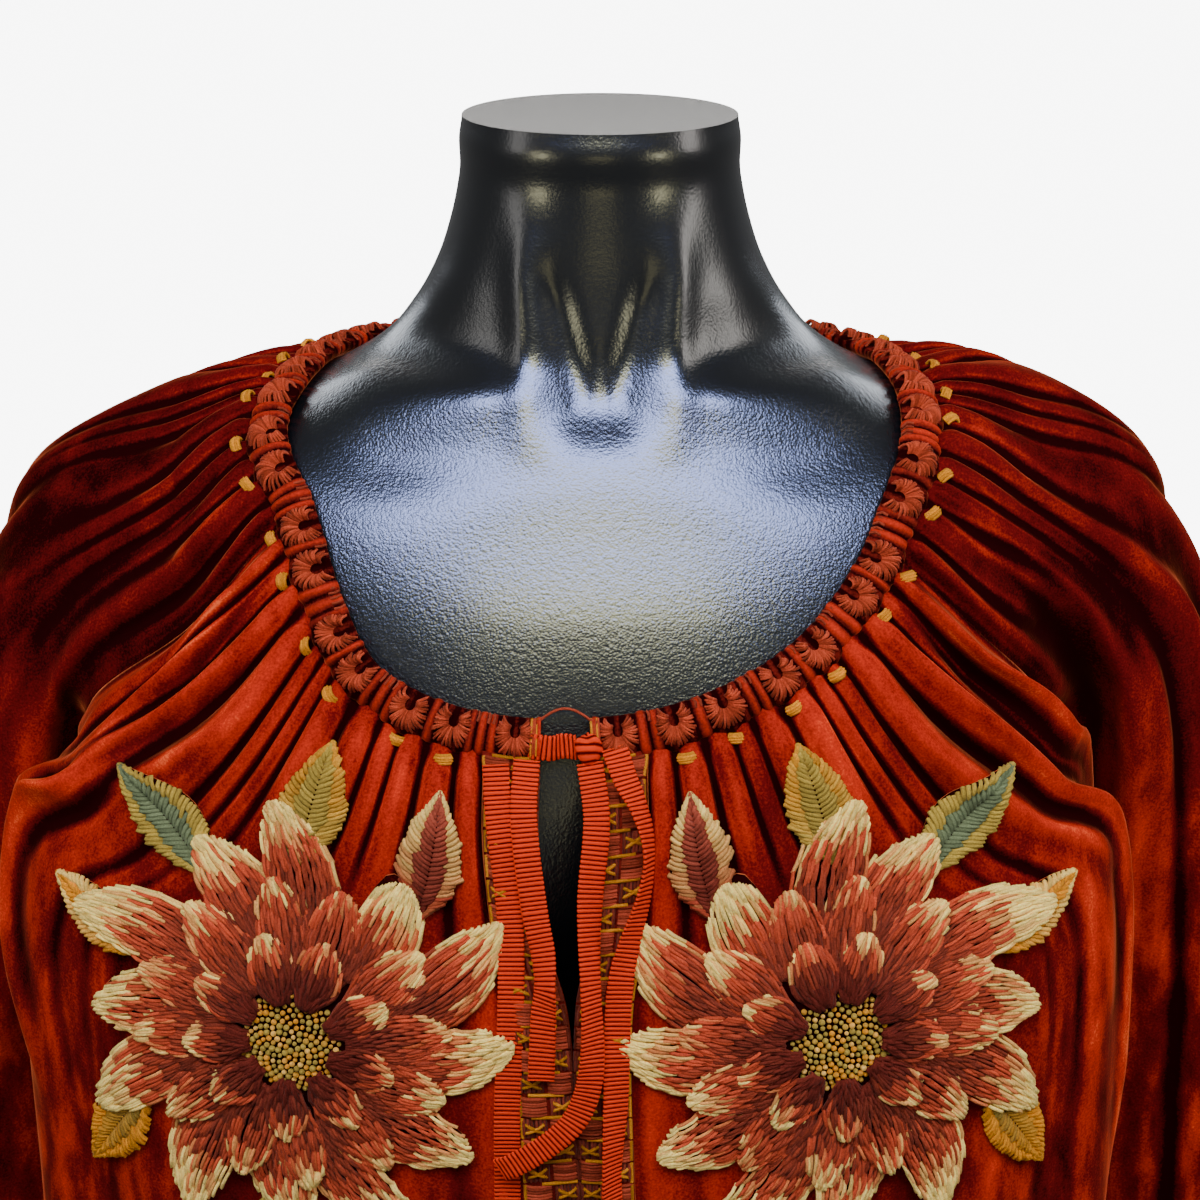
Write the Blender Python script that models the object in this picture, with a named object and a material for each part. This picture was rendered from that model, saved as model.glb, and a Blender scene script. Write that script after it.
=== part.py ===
"""A gathered velvet tunic with an embroidered front, and the torso form that it is worn on.

Metres, +Z up, and the front faces -Y. The origin is the centre of the form's flat base.
Every cloth piece is a thin closed wall. Its outer skin is lofted through a few key sections,
and what lies on a panel is made from the panel's own points, moved out.
"""

import math
from collections import namedtuple

import bmesh
import bpy
import numpy as np
from mathutils import Vector
from mathutils.bvhtree import BVHTree

# Driving sizes
FORM_HEIGHT = 0.780
CLOTH = 0.0018
SEAM_GAP = 0.00034
CLOTH_OFF_FORM = 0.0040
BAND_HALF_HEIGHT = 0.0075
BAND_HALF_THICKNESS = 0.0026
BAND_GATHER_DEPTH = 0.0014
BAND_OFF_FORM = 0.0034
BAND_GATHERS = 66
BAND_CORNERS = 6
RAGLAN_FRONT = 0.150
RAGLAN_BACK = 0.105
FRONT_SHIFT = -0.013
PLACKET_WIDTH = 0.022
PLACKET_THICKNESS = 0.0014
PLACKET_TOP_SHARE = 0.03
THREAD_GAP = 0.0005
PLATE_GAP = 0.0008
BLOOM_THICKNESS = 0.0012
PETAL_RELIEF = 0.0014
RIBBON_WIDTH = 0.0095
RIBBON_THICKNESS = 0.0011
KNOT_HALF_SIZE = (0.0045, 0.0030, 0.0055)
KNOT_PLACE = (0.0088, -0.0005, 0.5590)
KNOT_SEGMENTS = 10
KNOT_RINGS = 6

# Columns of each panel, where every second one is the crest of a gather
PLACKET_COLUMNS = 3
FRONT_HALF_COLUMNS = 27
BACK_COLUMNS = 32
SLEEVE_COLUMNS = 28

# Rows of each panel, counted in key sections down from the neckline
YOKE_ROWS = [0.0, 0.15, 0.38, 0.70, 1.10, 1.55, 2.0, 2.5, 3.0]
BODY_ROWS = [3.2, 3.45, 3.7, 4.0, 4.3, 4.65, 5.0]
SLEEVE_ROWS = [3.3, 3.65, 4.0, 4.5, 5.0, 5.5, 6.0]
PLACKET_END = 3.7

# Rounds of smoothing of the ways out of a panel, which keeps thick folds from pinching
OUT_SMOOTHING = 2

# How many columns of a panel follow its edge where it is brought to a seam
EASED_COLUMNS = 5

# How many columns beside a seam the gathers take to rise, and how uneven they are
GATHER_EDGE_COLUMNS = 2.5
CREST_UNEVENNESS = 0.22
CREST_PACE = 2.3

# How far from a bloom's centre its stitching keeps the cloth flat, in bloom radii
STITCHED_REACH = 1.45

# How much more than its lack a point of a stitched plate is pushed forward
PLATE_PUSH = 1.2

# How far apart two points are where the slope of the form between them is measured
SLOPE_STEP = 0.0005

# Half of the slit's opening at each key section, and none from the row where it ends
SLIT_ROW = 3.0
SLIT_HALF_WIDTHS = [0.0095, 0.0098, 0.0062, 0.0, 0.0, 0.0]

# Colours as seen: rust velvet, brick and gold thread, scarlet ribbon, black plastic
Finish = namedtuple("Finish", "colour roughness")
FINISHES = {
    "velvet": Finish((0.30, 0.022, 0.006), 0.75),
    "neckband": Finish((0.42, 0.055, 0.022), 0.80),
    "placket": Finish((0.30, 0.075, 0.018), 0.80),
    "ribbon": Finish((0.62, 0.050, 0.018), 0.60),
    "bloom": Finish((0.36, 0.090, 0.055), 0.75),
    "leaf": Finish((0.40, 0.270, 0.070), 0.70),
    "form": Finish((0.012, 0.014, 0.018), 0.30),
}

# The torso form, from its base to the flat top of its neck
FORM_SEGMENTS = 40
FORM_SHARP_ANGLE = 50
FORM_EXTRA_HEIGHTS = [0.10, 0.20, 0.31, 0.395, 0.46, 0.52, 0.575, 0.617]
Level = namedtuple("Level", "z half_width front back centre_y power")
FORM_LEVELS = [
    Level(0.000, 0.1480, 0.0960, 0.1080, 0.000, 2.40),
    Level(0.060, 0.1580, 0.0990, 0.1180, 0.000, 2.40),
    Level(0.140, 0.1500, 0.0940, 0.1100, 0.000, 2.30),
    Level(0.260, 0.1180, 0.0820, 0.0860, 0.000, 2.20),
    Level(0.360, 0.1260, 0.0900, 0.0920, 0.000, 2.20),
    Level(0.430, 0.1400, 0.1000, 0.1000, 0.000, 2.20),
    Level(0.490, 0.1540, 0.1100, 0.1040, 0.000, 2.20),
    Level(0.550, 0.1720, 0.1120, 0.1050, 0.000, 2.20),
    Level(0.600, 0.1860, 0.1010, 0.1050, 0.000, 2.20),
    Level(0.632, 0.1830, 0.0870, 0.1030, 0.000, 2.20),
    Level(0.650, 0.1660, 0.0790, 0.0990, 0.000, 2.15),
    Level(0.664, 0.1390, 0.0720, 0.0930, 0.000, 2.10),
    Level(0.676, 0.1110, 0.0650, 0.0850, 0.000, 2.05),
    Level(0.690, 0.0880, 0.0590, 0.0730, 0.000, 2.00),
    Level(0.706, 0.0740, 0.0560, 0.0650, -0.001, 2.00),
    Level(0.722, 0.0650, 0.0540, 0.0600, -0.002, 2.00),
    Level(0.740, 0.0588, 0.0530, 0.0570, -0.003, 2.00),
    Level(0.760, 0.0548, 0.0525, 0.0550, -0.004, 2.00),
    Level(0.775, 0.0532, 0.0525, 0.0545, -0.005, 2.00),
    Level(0.780, 0.0512, 0.0505, 0.0525, -0.005, 2.00),
]

# The form's chest, as one soft rise on each side
Chest = namedtuple("Chest", "x z width height proud")
CHEST = Chest(0.074, 0.474, 0.052, 0.058, 0.030)

# The middle of the neckband, from the front centre to the back centre
LEFT_NECK_LEAN = 1.7
NECK_SHIFT_START_Y = 0.03
NECK_SHIFT_REACH = 0.13
NeckStation = namedtuple("NeckStation", "x y z left_drop")
NECK_STATIONS = [
    NeckStation(0.000, -0.118, 0.561, 0.000),
    NeckStation(0.046, -0.114, 0.567, 0.002),
    NeckStation(0.087, -0.100, 0.585, 0.007),
    NeckStation(0.109, -0.077, 0.611, 0.011),
    NeckStation(0.1175, -0.047, 0.640, 0.011),
    NeckStation(0.119, -0.005, 0.665, 0.006),
    NeckStation(0.109, 0.035, 0.673, 0.002),
    NeckStation(0.080, 0.068, 0.675, 0.000),
    NeckStation(0.042, 0.084, 0.669, 0.000),
    NeckStation(0.000, 0.089, 0.666, 0.000),
]

# Front sections below the neckline: a flattened arc that turns back under the arm
Section = namedtuple("Section", "name z_centre z_edge half_width turn_y depth end_angle left_extra shift")
FRONT_SECTIONS = [
    Section("collarbone", 0.523, 0.590, 0.142, -0.068, 0.064, 90, 0.018, -0.013),
    Section("yoke", 0.484, 0.550, 0.181, -0.056, 0.084, 99, 0.026, -0.012),
    Section("underarm", 0.440, 0.500, 0.209, -0.050, 0.098, 117, 0.026, -0.010),
    Section("waist", 0.270, 0.285, 0.214, -0.046, 0.100, 114, 0.018, -0.004),
    Section("hem", 0.036, 0.036, 0.224, -0.044, 0.108, 112, 0.010, 0.000),
]

# Back sections: the raglan ones give their own seam point, and the side ones end at the front's
BackSection = namedtuple("BackSection", "name z_centre edge_x edge_y edge_z centre_y end_angle left_extra")
BACK_SECTIONS = [
    BackSection("shoulder_blade", 0.628, 0.136, 0.074, 0.650, 0.112, 62, 0.006),
    BackSection("upper_back", 0.570, 0.168, 0.060, 0.590, 0.122, 74, 0.012),
    BackSection("underarm", 0.490, None, None, None, 0.126, 97, 0.0),
    BackSection("waist", 0.275, None, None, None, 0.122, 97, 0.0),
    BackSection("hem", 0.036, None, None, None, 0.134, 97, 0.0),
]

# Sleeve sections above the underarm: points between the front seam and the back seam
SleeveArc = namedtuple("SleeveArc", "name front_side outer back_side")
SLEEVE_ARCS = [
    SleeveArc("shoulder", (0.158, -0.034, 0.646), (0.170, 0.010, 0.672), (0.160, 0.050, 0.668)),
    SleeveArc("cap", (0.209, -0.030, 0.604), (0.226, 0.016, 0.638), (0.208, 0.062, 0.626)),
    SleeveArc("armhole", (0.231, -0.030, 0.540), (0.251, 0.030, 0.578), (0.230, 0.080, 0.550)),
]
LEFT_SLEEVE_DROP = 0.007
LEFT_SLEEVE_EXTRAS = [0.0, 0.005, 0.009, 0.015, 0.018, 0.018, 0.016]

# Sleeve rings below the underarm
SleeveRing = namedtuple("SleeveRing", "name z centre_x centre_y half_x half_y")
SLEEVE_RINGS = [
    SleeveRing("upper_arm", 0.430, 0.253, 0.040, 0.050, 0.060),
    SleeveRing("elbow", 0.270, 0.258, 0.042, 0.051, 0.062),
    SleeveRing("opening", 0.075, 0.262, 0.040, 0.050, 0.060),
]

# How high a gather's crest stands, by how far down the panel it is
GatherHeight = namedtuple("GatherHeight", "reach height")
GATHER_HEIGHTS = [
    GatherHeight(0.000, 0.0034),
    GatherHeight(0.012, 0.0058),
    GatherHeight(0.045, 0.0062),
    GatherHeight(0.090, 0.0044),
    GatherHeight(0.150, 0.0020),
    GatherHeight(0.220, 0.0000),
]

# Long folds that hang below the chest: how many across a panel, and how deep at its hem
Folds = namedtuple("Folds", "count depth phase start_z end_z")
FRONT_FOLDS = Folds(9.0, 0.0080, 0.25, 0.520, 0.036)
BACK_FOLDS = Folds(6.0, 0.0070, 0.10, 0.560, 0.036)
SLEEVE_FOLDS = Folds(5.0, 0.0055, 0.80, 0.600, 0.075)

# The blooms, mirrored about the slit, with a raised rim on each petal and a raised centre
Bloom = namedtuple("Bloom", "across z radius petals lobe")
BLOOM = Bloom(0.104, 0.448, 0.077, 12, 0.10)
BLOOM_RING_SHARES = [0.16, 0.34, 0.52, 0.78, 1.0]
BLOOM_RING_RELIEF = [1.0, 0.2, 0.9, 1.0, 0.3]
BLOOM_VALLEY_RELIEF = 0.25
COLUMNS_PER_PETAL = 3

# Leaves round each bloom: direction of the root from its centre, lean, length and width
Leaf = namedtuple("Leaf", "name direction lean length width")
LEAVES = [
    Leaf("bud", 130, 108, 0.036, 0.022),
    Leaf("top", 94, 100, 0.034, 0.019),
    Leaf("upper", 60, 52, 0.036, 0.020),
    Leaf("outer", 24, 30, 0.026, 0.016),
    Leaf("lower", -32, -50, 0.030, 0.018),
    Leaf("foot", -84, -100, 0.036, 0.020),
]
LEAF_ROOT_GAP = 0.0035
LEAF_STATIONS = 6

# Tie ribbons: across from the front centre, clearance in front of the cloth, height and turn
RibbonStation = namedtuple("RibbonStation", "x off z turn")
RIBBONS = {
    "ribbon_strap": [
        RibbonStation(-0.0135, 0.0006, 0.5600, 0),
        RibbonStation(-0.0050, 0.0016, 0.5590, 0),
        RibbonStation(0.0039, 0.0066, 0.5594, 0),
    ],
    "ribbon_loop_left": [
        RibbonStation(-0.0145, -0.0006, 0.5549, 0),
        RibbonStation(-0.0155, 0.0030, 0.5360, 0),
        RibbonStation(-0.0115, 0.0045, 0.5040, -8),
        RibbonStation(-0.0082, 0.0050, 0.4880, -22),
        RibbonStation(-0.0076, 0.0055, 0.4760, -38),
        RibbonStation(-0.0082, 0.0050, 0.4640, -18),
        RibbonStation(-0.0092, 0.0050, 0.4390, 0),
    ],
    "ribbon_tail_left": [
        RibbonStation(-0.0262, 0.0010, 0.5540, 0),
        RibbonStation(-0.0250, 0.0010, 0.5360, 0),
        RibbonStation(-0.0210, 0.0010, 0.5040, 0),
        RibbonStation(-0.0205, 0.0010, 0.4700, 0),
        RibbonStation(-0.0222, 0.0010, 0.4250, 0),
        RibbonStation(-0.0225, 0.0010, 0.3900, 0),
        RibbonStation(-0.0230, 0.0010, 0.3550, 0),
    ],
    "ribbon_loop_right": [
        RibbonStation(0.0184, 0.0016, 0.5600, 8),
        RibbonStation(0.0222, 0.0034, 0.5510, 26),
        RibbonStation(0.0270, 0.0038, 0.5425, 46),
        RibbonStation(0.0304, 0.0040, 0.5330, 60),
        RibbonStation(0.0312, 0.0040, 0.5220, 68),
        RibbonStation(0.0288, 0.0035, 0.5080, 55),
        RibbonStation(0.0245, 0.0028, 0.4930, 35),
        RibbonStation(0.0208, 0.0022, 0.4770, 15),
        RibbonStation(0.0195, 0.0020, 0.4550, 5),
        RibbonStation(0.0190, 0.0020, 0.4300, 20),
        RibbonStation(0.0175, 0.0020, 0.3980, 45),
        RibbonStation(0.0180, 0.0020, 0.3700, 20),
    ],
    "ribbon_tail_right": [
        RibbonStation(0.0092, 0.0007, 0.5543, 0),
        RibbonStation(0.0118, 0.0040, 0.5360, 0),
        RibbonStation(0.0095, 0.0045, 0.5110, 15),
        RibbonStation(0.0090, 0.0050, 0.4920, 35),
        RibbonStation(0.0098, 0.0055, 0.4700, 42),
        RibbonStation(0.0102, 0.0058, 0.4520, 28),
        RibbonStation(0.0085, 0.0062, 0.4360, 8),
        RibbonStation(0.0035, 0.0065, 0.4230, 0),
        RibbonStation(-0.0050, 0.0067, 0.4140, 0),
        RibbonStation(-0.0150, 0.0067, 0.4070, 0),
        RibbonStation(-0.0250, 0.0062, 0.4010, 0),
    ],
}


def smooth(stations, values, at):
    """Values between stations, on a smooth cubic curve through all of them."""
    stations, values = np.asarray(stations, float), np.asarray(values, float)
    slopes = np.gradient(values, stations, axis=0)
    at = np.clip(np.asarray(at, float), stations[0], stations[-1])
    i = np.clip(np.searchsorted(stations, at) - 1, 0, len(stations) - 2)
    step = stations[i + 1] - stations[i]
    t = (at - stations[i]) / step
    if values.ndim > 1:
        spread = (...,) + (None,) * (values.ndim - 1)
        t, step = t[spread], step[spread]
    return (
        (2 * t**3 - 3 * t**2 + 1) * values[i]
        + (t**3 - 2 * t**2 + t) * step * slopes[i]
        + (3 * t**2 - 2 * t**3) * values[i + 1]
        + (t**3 - t**2) * step * slopes[i + 1]
    )


def hump(value, centre, width):
    """A soft rise to 1 at centre, gone about two widths away."""
    return np.exp(-(((value - centre) / width) ** 2))


def unit(vectors):
    return vectors / np.maximum(np.linalg.norm(vectors, axis=-1, keepdims=True), 1e-12)


def form_level(column, z):
    """One column of the form's levels at any height."""
    return smooth([level.z for level in FORM_LEVELS], [getattr(level, column) for level in FORM_LEVELS], z)


def form_front(x, z):
    """How far the form reaches forward, with its chest."""
    return form_level("front", z) + CHEST.proud * hump(np.abs(x), CHEST.x, CHEST.width) * hump(
        z, CHEST.z, CHEST.height
    )


def form_share(points):
    """0 on the form's surface, negative inside and positive outside."""
    x, y, z = points[:, 0], points[:, 1], np.clip(points[:, 2], 0, FORM_HEIGHT)
    y = y - form_level("centre_y", z)
    reach = np.where(y < 0, form_front(x, z), form_level("back", z))
    power = form_level("power", z)
    total = (np.abs(x) / form_level("half_width", z)) ** power + (np.abs(y) / reach) ** power
    return total ** (1 / power) - 1


def off_form(points):
    """Each point's distance from the form, and the way straight off it."""
    ways = np.eye(3) * SLOPE_STEP
    rises = [form_share(points + way) - form_share(points - way) for way in ways]
    slope = np.stack(rises, axis=1) / (2 * SLOPE_STEP)
    steepness = np.linalg.norm(slope, axis=1)
    return form_share(points) / steepness, slope / steepness[:, None]


def clear(points, distance):
    """The points, with those nearer to the form than distance moved off it."""
    shape = points.shape
    points = points.reshape(-1, 3)
    for _ in range(4):
        gap, away = off_form(points)
        points = points + away * np.maximum(distance - gap, 0)[:, None]
    return points.reshape(shape)


def seated(points, distance):
    """The points, moved to lie at that distance from the form."""
    for _ in range(4):
        gap, away = off_form(points)
        points = points + away * (distance - gap)[:, None]
    return points


def lengths_along(line):
    """The distance of each point of a line from its start, along it."""
    return np.concatenate([[0], np.cumsum(np.linalg.norm(np.diff(line, axis=0), axis=1))])


def at_distances(line, distances):
    """Points on a line at these distances from its start."""
    return read_at([line], lengths_along(line), distances)[0]


def read_at(tables, along, at):
    """Rows of each table, which has one for every value of along, at other values."""
    return [np.stack([np.interp(at, along, table[:, k]) for k in range(3)], axis=1) for table in tables]


def evenly(line, count):
    """Points that part a line into count equal stretches."""
    return at_distances(line, np.linspace(0, lengths_along(line)[-1], count + 1))


def neck_half(side):
    """Half of the neckband's middle line, front to back, with the ways off the form and down."""
    table = np.array(NECK_STATIONS)
    mirror = np.array([-1, 1, 1, 1])
    table = np.vstack([table[1] * mirror, table, table[-2] * mirror])
    line = smooth(np.arange(-1, len(table) - 1), table, np.linspace(0, len(table) - 3, 240))
    forward = np.clip((NECK_SHIFT_START_Y - line[:, 1]) / NECK_SHIFT_REACH, 0, 1)
    line[:, 0] = side * line[:, 0] + FRONT_SHIFT * forward**1.5
    line[:, 2] -= line[:, 3] * (side < 0)
    line[:, 0] += line[:, 3] * LEFT_NECK_LEAN * (side < 0)
    line = line[:, :3]
    line = seated(line, BAND_OFF_FORM)
    away = off_form(line)[1]
    down = unit(np.cross(unit(np.gradient(line, axis=0)), away)) * side
    return line, away, down


def neck_edge(side, start, end, count):
    """A stretch of the seam below the band, and the ways off the form there."""
    line, away, down = neck_half(side)
    along = lengths_along(line)
    at = np.linspace(start, end, count)
    edge = line + down * (BAND_HALF_HEIGHT + SEAM_GAP)
    return read_at((edge, away), along, at)


def neck_length(side):
    return lengths_along(neck_half(side)[0])[-1]


def half_columns(length, slit):
    """Distances of a front half's columns from the centre: close on the placket, then even."""
    placket = slit + np.linspace(0, PLACKET_WIDTH, PLACKET_COLUMNS + 1)
    rest = np.linspace(placket[-1], length, FRONT_HALF_COLUMNS - PLACKET_COLUMNS + 1)
    return np.concatenate([placket, rest[1:]])


def front_section(section, side):
    """A front section from the centre to its seam."""
    turn = np.linspace(0, math.radians(section.end_angle), 90)
    width = section.half_width + (section.left_extra if side < 0 else 0)
    x = side * width * np.sin(turn) + section.shift * np.clip(np.cos(turn), 0, 1) ** 2
    y = section.turn_y - section.depth * np.cos(turn)
    z = section.z_centre + (section.z_edge - section.z_centre) * (turn / turn[-1]) ** 1.6
    return clear(np.stack([x, y, z], axis=1), CLOTH_OFF_FORM)


def front_keys(side):
    """Key sections of a front half, each with its columns from the slit to the seam."""
    lines = [neck_edge(side, 0, RAGLAN_FRONT, 200)[0]]
    lines += [front_section(section, side) for section in FRONT_SECTIONS]
    return np.stack(
        [
            at_distances(line, half_columns(lengths_along(line)[-1], slit))
            for line, slit in zip(lines, SLIT_HALF_WIDTHS)
        ]
    )


def back_section(section, side, front_seam_point):
    """Half of a back section, from its centre to its seam."""
    seam = np.array(front_seam_point)
    if section.edge_x is not None:
        seam = np.array([side * section.edge_x, section.edge_y, section.edge_z])
        seam[0] += side * (section.left_extra if side < 0 else 0)
    end = math.radians(section.end_angle)
    turn = np.linspace(0, end, 60)
    x = seam[0] * np.sin(turn) / math.sin(end)
    y = section.centre_y + (seam[1] - section.centre_y) * (1 - np.cos(turn)) / (1 - math.cos(end))
    z = section.z_centre + (seam[2] - section.z_centre) * (turn / end) ** 2
    return clear(np.stack([x, y, z], axis=1), CLOTH_OFF_FORM)


def back_keys(front_seams):
    """Key sections of the back, from the right seam to the left one."""
    halves = {}
    for side in (1, -1):
        whole = neck_length(side)
        halves[side] = [neck_edge(side, whole - RAGLAN_BACK, whole, 100)[0][::-1]]
        for key, section in enumerate(BACK_SECTIONS, start=1):
            halves[side].append(back_section(section, side, front_seams[side][key]))
    lines = [np.concatenate([right[::-1], left[1:]]) for right, left in zip(halves[1], halves[-1])]
    return np.stack([evenly(line, BACK_COLUMNS) for line in lines])


def sleeve_keys(side, front_seam, back_seam):
    """Key sections of a sleeve, from its front seam over the outside to its back seam."""
    lines = [neck_edge(side, RAGLAN_FRONT, neck_length(side) - RAGLAN_BACK, 160)[0]]
    extras = LEFT_SLEEVE_EXTRAS if side < 0 else [0.0] * len(LEFT_SLEEVE_EXTRAS)
    drop = LEFT_SLEEVE_DROP if side < 0 else 0.0
    for key, arc in enumerate(SLEEVE_ARCS, start=1):
        middle = [(side * (x + extras[key]), y, z - drop) for x, y, z in arc[1:]]
        points = np.array([front_seam[key], *middle, back_seam[key]])
        spread = lengths_along(points)
        lines.append(smooth(spread, points, np.linspace(0, spread[-1], 90)))
    turn = np.linspace(0, 2 * math.pi, 91)
    for key, ring in enumerate(SLEEVE_RINGS, start=len(lines)):
        x = side * (ring.centre_x + extras[key] - ring.half_x * np.cos(turn))
        y = ring.centre_y - ring.half_y * np.sin(turn)
        lines.append(np.stack([x, y, np.full(len(turn), ring.z)], axis=1))
    return np.stack([evenly(clear(line, CLOTH_OFF_FORM), SLEEVE_COLUMNS) for line in lines])


class Panel:
    """A cut piece of cloth: its outer skin in rows and columns, and the way out of it at each point."""

    def __init__(self, name, keys, rows, facing, neck_away):
        self.name = name
        self.rows = rows
        self.facing = facing
        self.grid = clear(smooth(np.arange(len(keys)), keys, rows), CLOTH_OFF_FORM)
        self.neck_away = neck_away
        self.face_out()

    def face_out(self):
        """Works out the way out of the cloth at each point, which at the neck is off the form."""
        down = np.gradient(self.grid, axis=0)
        across = np.gradient(self.grid, axis=1)
        out = unit(np.cross(down, across)) * self.facing
        for _ in range(OUT_SMOOTHING):
            out[1:-1] = unit(out[:-2] + 2 * out[1:-1] + out[2:])
            out[:, 1:-1] = unit(out[:, :-2] + 2 * out[:, 1:-1] + out[:, 2:])
        out[0] = self.neck_away
        self.out = out

    def ruffle(self, wave, folds):
        """Raises the gathers and the long folds, with the seams left in place."""
        columns = self.grid.shape[1]
        share = np.linspace(0, 1, columns)
        from_edge = np.minimum(share, 1 - share) * columns
        still = np.clip(from_edge / GATHER_EDGE_COLUMNS, 0, 1) * calm(self.grid)
        steps = np.linalg.norm(np.diff(self.grid, axis=0), axis=2)
        reach = np.vstack([np.zeros(columns), np.cumsum(steps, axis=0)])
        reaches, heights = np.array(GATHER_HEIGHTS).T
        height = np.interp(reach, reaches, heights)
        fall = np.clip((folds.start_z - self.grid[..., 2]) / (folds.start_z - folds.end_z), 0, 1)
        roll = np.sin(2 * math.pi * (folds.count * share + folds.phase)) * folds.depth * fall
        moved = self.grid + self.out * ((height * wave + roll) * still)[..., None]
        self.grid = clear(moved, CLOTH_OFF_FORM)

    def cells(self, first_row=0, last_row=None, first_column=0, last_column=None):
        """Faces over a stretch of the grid, turned to face out."""
        last_row = len(self.grid) - 1 if last_row is None else last_row
        last_column = self.grid.shape[1] - 1 if last_column is None else last_column
        width = self.grid.shape[1]
        cells = []
        for i in range(first_row, last_row):
            for j in range(first_column, last_column):
                cell = [i * width + j, (i + 1) * width + j, (i + 1) * width + j + 1, i * width + j + 1]
                cells.append(cell if self.facing > 0 else cell[::-1])
        return cells


def calm(points):
    """1 on free cloth, and near 0 where close stitching keeps it flat."""
    share = np.ones(points.shape[:-1])
    for side in (1, -1):
        across = (points[..., 0] - side * BLOOM.across - FRONT_SHIFT) / (BLOOM.radius * STITCHED_REACH)
        up = (points[..., 2] - BLOOM.z) / (BLOOM.radius * STITCHED_REACH)
        share *= 1 - np.exp(-((across**2 + up**2) ** 2)) * (points[..., 1] < 0)
    return share


def crests(count, start=0):
    """1 on every second column after start, a little uneven, and 0 between."""
    columns = np.arange(count + 1)
    raised = (columns > start) & ((columns - start) % 2 == 1)
    return np.where(raised, 1 + CREST_UNEVENNESS * np.sin(CREST_PACE * columns), 0.0)


def join(first, first_column, second, second_column, rows):
    """Brings the second panel's edge to the first's, and eases its next columns after it."""
    seam = first.grid[rows, first_column]
    shift = seam - second.grid[rows, second_column]
    inward = 1 if second_column == 0 else -1
    for k in range(EASED_COLUMNS):
        second.grid[rows, second_column + inward * k] += shift * (1 - k / EASED_COLUMNS)


def sew(first, first_column, second, second_column, rows, moves):
    """Notes how each of two joined edges draws back by half a gap.

    Where the panels lie flat to each other, or meet in a ridge, their edges take the same way out.
    """
    seam = first.grid[rows, first_column]
    ways = [first.out[rows, first_column], second.out[rows, second_column]]
    middle = unit(ways[0] + ways[1])
    edges = ((first, first_column), (second, second_column))
    beside = [panel.grid[rows, 1 if column == 0 else -2] for panel, column in edges]
    ridge = np.sum((beside[1] - seam) * ways[0], axis=1, keepdims=True) < 0
    level = np.clip((np.sum(ways[0] * ways[1], axis=1, keepdims=True) + 0.1) / 0.5, 0, 1)
    flat = np.where(ridge, 1.0, level)
    first.out[rows, first_column] = unit(ways[0] * (1 - flat) + middle * flat)
    second.out[rows, second_column] = unit(ways[1] * (1 - flat) + middle * flat)
    along = unit(np.gradient(seam, axis=0))
    apart = unit(beside[1] - seam) - unit(beside[0] - seam)
    apart = apart - along * np.sum(apart * along, axis=1, keepdims=True)
    apart = unit(apart - middle * flat * np.sum(apart * middle, axis=1, keepdims=True))
    moves.append((first, rows, first_column, apart * -SEAM_GAP / 2))
    moves.append((second, rows, second_column, apart * SEAM_GAP / 2))


def material(name):
    """The plain finish of one kind of sub-part."""
    finish = FINISHES[name]
    made = bpy.data.materials.new(name)
    made.use_nodes = True
    shader = made.node_tree.nodes["Principled BSDF"]
    shader.inputs["Base Color"].default_value = (*finish.colour, 1)
    shader.inputs["Roughness"].default_value = finish.roughness
    made.diffuse_color = (*finish.colour, 1)
    return made


def add_object(name, points, faces, finish):
    """An object from points and faces, without the points that no face uses."""
    used = sorted({index for face in faces for index in face})
    place = {index: position for position, index in enumerate(used)}
    mesh = bpy.data.meshes.new(name)
    mesh.from_pydata(
        [tuple(points[index]) for index in used], [], [[place[index] for index in face] for face in faces]
    )
    mesh.materials.append(material(finish))
    mesh.shade_smooth()
    made = bpy.data.objects.new(name, mesh)
    bpy.context.scene.collection.objects.link(made)
    return made


def split(cell, points):
    """A cell's triangles, parted along its shorter diagonal, the same way on both skins."""
    if len(cell) == 3:
        return [cell]
    a, b, c, d = cell
    if np.linalg.norm(points[a] - points[c]) <= np.linalg.norm(points[b] - points[d]):
        return [[a, b, c], [a, c, d]]
    return [[a, b, d], [b, c, d]]


def add_wall(name, outer, inner, cells, finish):
    """A closed wall between two skins with the same cells, with a rim along every open edge."""
    count = len(outer)
    cells = [triangle for cell in cells for triangle in split(cell, outer)]
    edges = {(cell[k - 1], cell[k]) for cell in cells for k in range(len(cell))}
    rims = [[b, a, a + count, b + count] for a, b in sorted(edges) if (b, a) not in edges]
    backs = [[index + count for index in cell[::-1]] for cell in cells]
    return add_object(name, np.concatenate([outer, inner]), cells + backs + rims, finish)


def add_panel(panel, cells):
    outer = panel.grid.reshape(-1, 3)
    return add_wall(panel.name, outer, outer - panel.out.reshape(-1, 3) * CLOTH, cells, "velvet")


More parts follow.
